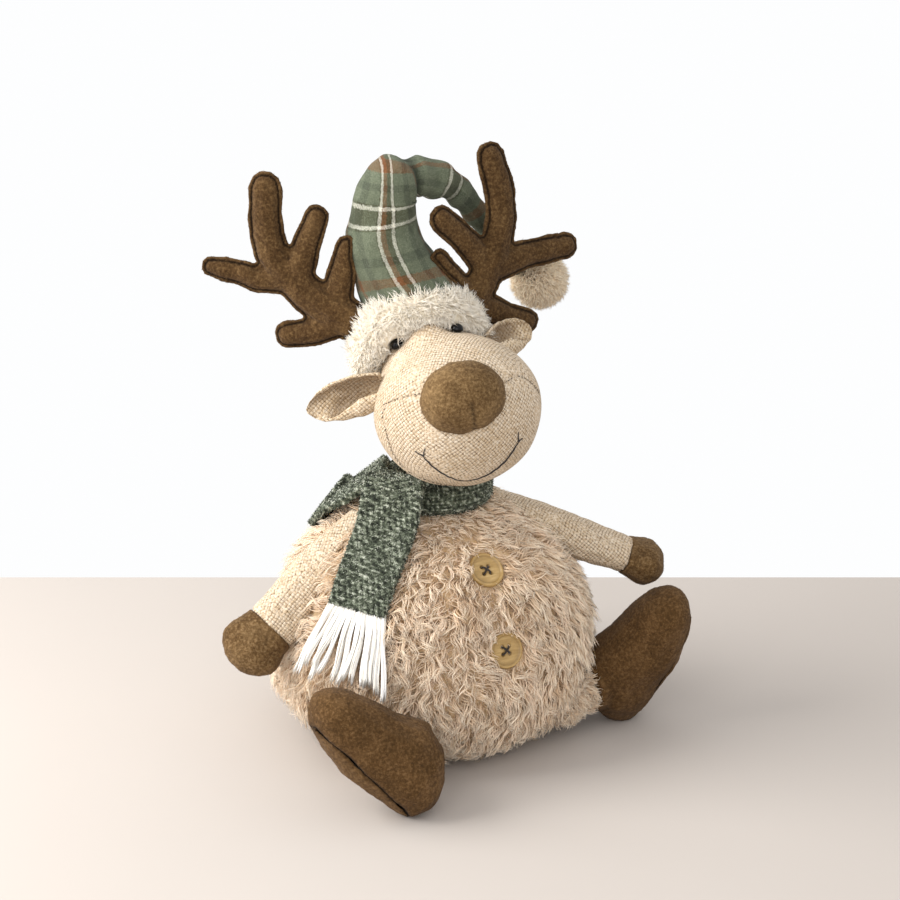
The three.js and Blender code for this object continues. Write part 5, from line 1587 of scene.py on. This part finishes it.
class AddArms(bpy.types.Operator):
    """Make the linen arms and their felt hands"""
    bl_idname = "deer.arms"
    bl_label = "Arms"

    def execute(self, context):
        cloth = linen("arm_linen")
        brown = felt("hand_felt", "44301a", "664d2f", "957a57", "1c1208")
        for side in SIDES:
            sleeve = softened(f"arm_{side}", 1.0 * MM, 8)
            points = points_of(sleeve)
            reach = np.linalg.norm(points - SHOULDERS[side], axis=1)
            folds = 0.5 * MM * ripple(points, 22 * MM, 121) + 0.18 * MM * ripple(points, 7 * MM, 122)
            calm = np.clip((reach - 16 * MM) / (10 * MM), 0, 1)
            swell(sleeve, folds * calm)
            # Painted shade in the sleeve's folds.
            write_creases(sleeve, 0.3 * MM)
            show(f"sleeve_{side}", sleeve, cloth, f"arm_{side}", [f"arm_{side}"])
            mitt = softened(f"hand_{side}", 0.9 * MM, 8)
            points = points_of(mitt)
            swell(mitt, 0.3 * MM * ripple(points, 14 * MM, 123) + 0.1 * MM * ripple(points, 4 * MM, 124) + 0.3 * MM)
            # Painted shade in the mitt's folds.
            write_creases(mitt, 0.3 * MM)
            show(f"mitt_{side}", mitt, brown, f"arm_{side}", [f"hand_{side}"])
            add_felt_fuzz(f"mitt_fuzz_{side}", mitt, 900, "967650", f"arm_{side}", 125)
        return {"FINISHED"}


class AddFeet(bpy.types.Operator):
    """Make the felt feet with their soles, and the linen legs"""
    bl_idname = "deer.feet"
    bl_label = "Feet"

    def execute(self, context):
        brown = felt("foot_felt", "3b2914", "573e22", "7d6040", "160d05")
        pale = felt("sole_felt", "44301a", "644a2c", "886a47", "1a1007")
        cloth = linen("leg_linen")
        coat = body_coat()
        for side in SIDES:
            boot = softened(f"foot_{side}", 1.1 * MM, 10)
            sole = softened(f"sole_{side}", 1.0 * MM, 5)
            self.soften_boot(boot, sole, 131)
            self.soften_boot(sole, boot, 133)
            show(f"boot_{side}", boot, brown, f"leg_{side}", [f"foot_{side}"])
            show(f"boot_sole_{side}", sole, pale, f"leg_{side}", [f"sole_{side}"])
            add_felt_fuzz(f"boot_fuzz_{side}", boot, 2400, "8a6b45", f"leg_{side}", 135)
            shank = softened(f"leg_{side}", 1.2 * MM, 5)
            write_attribute(shank, "crease", np.zeros(len(shank.vertices)))
            self.add_leg_fur(side, shank, points_of(boot), coat)
            show(f"shank_{side}", shank, cloth, f"leg_{side}", [f"leg_{side}"])
        return {"FINISHED"}

    def soften_boot(self, mesh, other, seed):
        """Folds a boot or its sole, sinks the seam between the two, and marks painted shade in the folds and the seam.
        """
        points, facings = points_of(mesh), facings_of(mesh)
        seam = falloff(nearest(points, points_of(other)), 1.3 * MM)
        folds = 0.5 * MM * ripple(points, 24 * MM, seed) + 0.12 * MM * ripple(points, 5 * MM, seed + 1) + 0.35 * MM
        moved = points + facings * (folds - 0.5 * MM * seam)[:, None]
        keep_above(moved, 0)
        move_points(mesh, moved)
        # Painted shade in folds and in the seam.
        write_creases(mesh, 0.9 * MM)
        deepen_creases(mesh, seam)

    def add_leg_fur(self, side, shank, boot, coat):
        """Locks of the body's fur that cover the linen leg down to its boot."""
        draw = np.random.default_rng(137)
        roots, facings = scattered(shank, LEG_LOCKS, 138)
        clear = nearest(roots, boot) > 3 * MM
        roots, facings = roots[clear], facings[clear]
        flow = np.array([0, 0, -0.6]) + 0.5 * unit(roots * [1, 1, 0]) + 0.4 * draw.normal(size=roots.shape)
        lengths = draw.uniform(8, 12, len(roots)) * MM
        paths = pile(roots - facings * 0.6 * MM, facings, flow, lengths, 0.9, 0.8, 0.9, LOCK_STEPS, draw)
        hairs, ups = bundled(paths, facings, HAIRS_PER_LOCK, 1.5 * MM, draw, 0.7, 0.4 * MM)
        keep_above(hairs, 0.5 * MM)
        widths = taper(LOCK_STEPS, len(hairs), 0.28, 0.32, 0.07) * draw.uniform(0.7, 1.3, (len(hairs), 1))
        # Tones held low, towards the pile's shade colour: painted shade low on the legs.
        tones = tones_about(0.3, 0.2, len(hairs), draw)
        name = f"leg_fur_{side}"
        show(name, strands(name, hairs, widths, ups, tones), coat, f"leg_{side}")


class AddButtons(bpy.types.Operator):
    """Make the wooden buttons and the crossed thread that holds them"""
    bl_idname = "deer.buttons"
    bl_label = "Buttons"

    def execute(self, context):
        wood = button_wood("button_wood")
        dark = thread("button_thread", "3a2a20")
        for seed, name in enumerate(BUTTON_SHARES, 7):
            place, facing = button_seat(name)
            turn = np.array(Vector((0, 0, 1)).rotation_difference(Vector(facing)).to_matrix())
            disc = self.disc()
            move_points(disc, points_of(disc) @ turn.T + place)
            show(f"button_disc_{name}", disc, wood, "body", [f"button_{name}"])
            cross = self.cross(seed)
            move_points(cross, points_of(cross) @ turn.T + place)
            show(f"button_cross_{name}", cross, dark, "body", [f"button_thread_{name}"])
        return {"FINISHED"}

    def disc(self):
        """A turned disc with a raised round rim, a dish and four countersunk holes."""
        inner = BUTTON_RADIUS - BUTTON_RIM
        profile = [(radius * BUTTON_RADIUS, high * BUTTON_THICKNESS) for radius, high in BUTTON_ROWS]
        profile += [(inner * share, BUTTON_FACE + 0.35 * MM * share ** 4)
                    for share in (0.9, 0.75, 0.6, 0.45, 0.3, 0.15, 0)]
        form = spun(profile, 72)
        dish = [edge for edge in form.edges if all(abs(vert.co.z - BUTTON_FACE) < 0.5 * MM
                                                   and vert.co.xy.length < inner * 0.8 for vert in edge.verts)]
        bmesh.ops.subdivide_edges(form, edges=dish, cuts=2, use_grid_fill=True)
        mesh = mesh_of(form, "disc")
        points = points_of(mesh)
        gap = np.min([np.hypot(points[:, 0] - x * HOLE_HALF, points[:, 1] - y * HOLE_HALF)
                      for x in (-1, 1) for y in (-1, 1)], 0)
        top = points[:, 2] > BUTTON_FACE - 0.3 * MM
        depth = np.where(top, np.clip((HOLE_RADIUS - gap) / (0.5 * MM), 0, 1), 0)
        points[:, 2] -= depth * 1.5 * MM
        move_points(mesh, points)
        # Painted shade: the holes and the groove inside the rim are marked for darkening.
        rim = falloff(np.hypot(points[:, 0], points[:, 1]) - inner * 0.97, 0.7 * MM) * top
        write_attribute(mesh, "crease", np.clip(depth + 0.5 * rim, 0, 1))
        return mesh

    def cross(self, seed):
        """Two stitches of three threads each, over the face from hole to hole."""
        draw = np.random.default_rng(seed)
        made = []
        for slant in (1, -1):
            for strand in (-1, 0, 1):
                share = np.linspace(-1, 1, 15)
                beside = strand * 0.42 * MM * (1 - 0.5 * share ** 2) + 0.08 * MM * draw.normal()
                along = share * HOLE_HALF * 1.05 * math.sqrt(2)
                over = 0.75 * MM if slant == 1 else 1.15 * MM
                rise = BUTTON_FACE + over * (1 - share ** 6) - 1.2 * MM * share ** 6
                direction = np.array([1, slant]) / math.sqrt(2)
                normal = np.array([-slant, 1]) / math.sqrt(2)
                flat = np.outer(along, direction) + np.outer(beside, normal)
                made.append(stitch(np.column_stack([flat, rise]), 0.3 * MM, 7, start=(0, 0, 1)))
        return joined(made, "cross")


class AddFilling(bpy.types.Operator):
    """Give the hidden fillings and washers their finishes"""
    bl_idname = "deer.filling"
    bl_label = "Filling"

    def execute(self, context):
        fleece = filling("polyester_filling", "dcdcd8", "fafaf8")
        pellets = filling("pellet_cloth", "cfc9bd", "e8e4dc")
        finish = Finish("washer_plastic", roughness=0.45)
        plastic = finish.wear(finish.ramp(finish.noise(200.0), [(0.3, "e4e4de"), (0.7, "f2f2ee")]))
        choice = {"body_stuffing": fleece, "head_stuffing": fleece, "hat_stuffing": fleece, "pellet_bag": pellets,
                  "eye_washer_left": plastic, "eye_washer_right": plastic}
        for node, material in choice.items():
            mesh = frame["nodes"][node].data
            mesh.materials.clear()
            mesh.materials.append(material)
        return {"FINISHED"}


class AddStage(bpy.types.Operator):
    """Set the floor, the light and the camera"""
    bl_idname = "deer.stage"
    bl_label = "Stage"

    def execute(self, context):
        colours = context.scene.deer_colours
        self.add_floor(colours.floor)
        self.set_world(colours.backdrop)
        self.add_lamp("window_light", (-0.98, 0.3, 0.8), 0.9, 20.0, (1.0, 0.99, 0.97))
        self.add_lamp("room_light", (-0.75, -1.25, 0.85), 1.3, 8.0, (1.0, 1.0, 1.0))
        self.add_camera(context)
        context.scene.view_settings.view_transform = "Standard"
        return {"FINISHED"}

    def add_floor(self, colour):
        """A table top whose far edge lies straight across the photograph's view."""
        form = bmesh.new()
        bmesh.ops.create_grid(form, x_segments=1, y_segments=1, size=TABLE_HALF)
        bmesh.ops.translate(form, verts=form.verts, vec=(0, TABLE_EDGE - TABLE_HALF, 0))
        bmesh.ops.rotate(form, verts=form.verts, matrix=Matrix.Rotation(CAMERA_AZIMUTH, 3, "Z"))
        mesh = mesh_of(form, "floor")
        floor = bpy.data.objects.new("floor", mesh)
        bpy.context.scene.collection.objects.link(floor)
        finish = Finish("floor_paint", roughness=0.85, specular=0.15)
        patches = finish.noise(3.0, 4.0)
        shade = finish.mix(patches, tuple(part * 0.94 for part in colour) + (1,), tuple(colour) + (1,))
        mesh.materials.append(finish.wear(shade))

    def set_world(self, colour):
        """Plain white light on the toy, and a pale backdrop for the camera and for reflections."""
        world = bpy.data.worlds.new("backdrop")
        bpy.context.scene.world = world
        world.use_nodes = True
        tree = world.node_tree
        light = tree.nodes["Background"]
        light.inputs["Color"].default_value = (1, 1, 1, 1)
        light.inputs["Strength"].default_value = WORLD_LIGHT
        seen = tree.nodes.new("ShaderNodeBackground")
        seen.inputs["Color"].default_value = tuple(colour) + (1,)
        seen.inputs["Strength"].default_value = 1.0
        rays = tree.nodes.new("ShaderNodeLightPath")
        choice = tree.nodes.new("ShaderNodeMixShader")
        clear = tree.nodes.new("ShaderNodeMath")
        clear.operation = "MAXIMUM"
        tree.links.new(rays.outputs["Is Camera Ray"], clear.inputs[0])
        tree.links.new(rays.outputs["Is Glossy Ray"], clear.inputs[1])
        tree.links.new(clear.outputs[0], choice.inputs[0])
        tree.links.new(light.outputs[0], choice.inputs[1])
        tree.links.new(seen.outputs[0], choice.inputs[2])
        tree.links.new(choice.outputs[0], tree.nodes["World Output"].inputs["Surface"])

    def add_lamp(self, name, place, size, power, colour):
        """A square lamp that is aimed at the middle of the toy."""
        data = bpy.data.lights.new(name, "AREA")
        data.shape = "SQUARE"
        data.size = size
        data.energy = power
        data.color = colour
        lamp = bpy.data.objects.new(name, data)
        lamp.location = place
        aim = LAMP_AIM - Vector(place)
        lamp.rotation_euler = aim.to_track_quat("-Z", "Y").to_euler()
        bpy.context.scene.collection.objects.link(lamp)

    def add_camera(self, context):
        """The photograph's view: from the toy's right and a little above."""
        level = math.cos(CAMERA_ELEVATION)
        back = Vector((math.sin(CAMERA_AZIMUTH) * level, -math.cos(CAMERA_AZIMUTH) * level,
                       math.sin(CAMERA_ELEVATION)))
        data = bpy.data.cameras.new("camera")
        data.sensor_width = CAMERA_SENSOR
        data.lens = CAMERA_SENSOR * FOCAL_PIXELS / FRAME_PIXELS
        camera = bpy.data.objects.new("camera", data)
        camera.location = CAMERA_AIM + back * CAMERA_DISTANCE
        camera.rotation_euler = (-back).to_track_quat("-Z", "Y").to_euler()
        context.scene.collection.objects.link(camera)
        context.scene.camera = camera


class DeerPanel(bpy.types.Panel):
    """The toy's sizes, colours and pieces"""
    bl_idname = "VIEW3D_PT_deer"
    bl_label = "Plush Deer"
    bl_space_type = "VIEW_3D"
    bl_region_type = "UI"
    bl_category = "Plush Deer"

    def draw(self, context):
        for group in (context.scene.deer_sizes, context.scene.deer_colours):
            for name in group.__annotations__:
                self.layout.prop(group, name)
        for part in PARTS:
            self.layout.operator(part.bl_idname)


# Every operator, in the order in which they run
PARTS = (AddStage, AddFilling, AddButtons, AddHead, AddNose, AddEyes, AddEars, AddAntlers, AddHat, AddHatFur,
         AddArms, AddFeet, AddScarf, AddBody)


def register():
    for kind in (DeerSizes, DeerColours, *PARTS, DeerPanel):
        bpy.utils.register_class(kind)
    bpy.types.Scene.deer_sizes = PointerProperty(type=DeerSizes)
    bpy.types.Scene.deer_colours = PointerProperty(type=DeerColours)


def unregister():
    del bpy.types.Scene.deer_colours
    del bpy.types.Scene.deer_sizes
    for kind in reversed((DeerSizes, DeerColours, *PARTS, DeerPanel)):
        bpy.utils.unregister_class(kind)


def main():
    register()
    for part in PARTS:
        group, name = part.bl_idname.split(".")
        getattr(getattr(bpy.ops, group), name)()


if __name__ == "__main__":
    main()
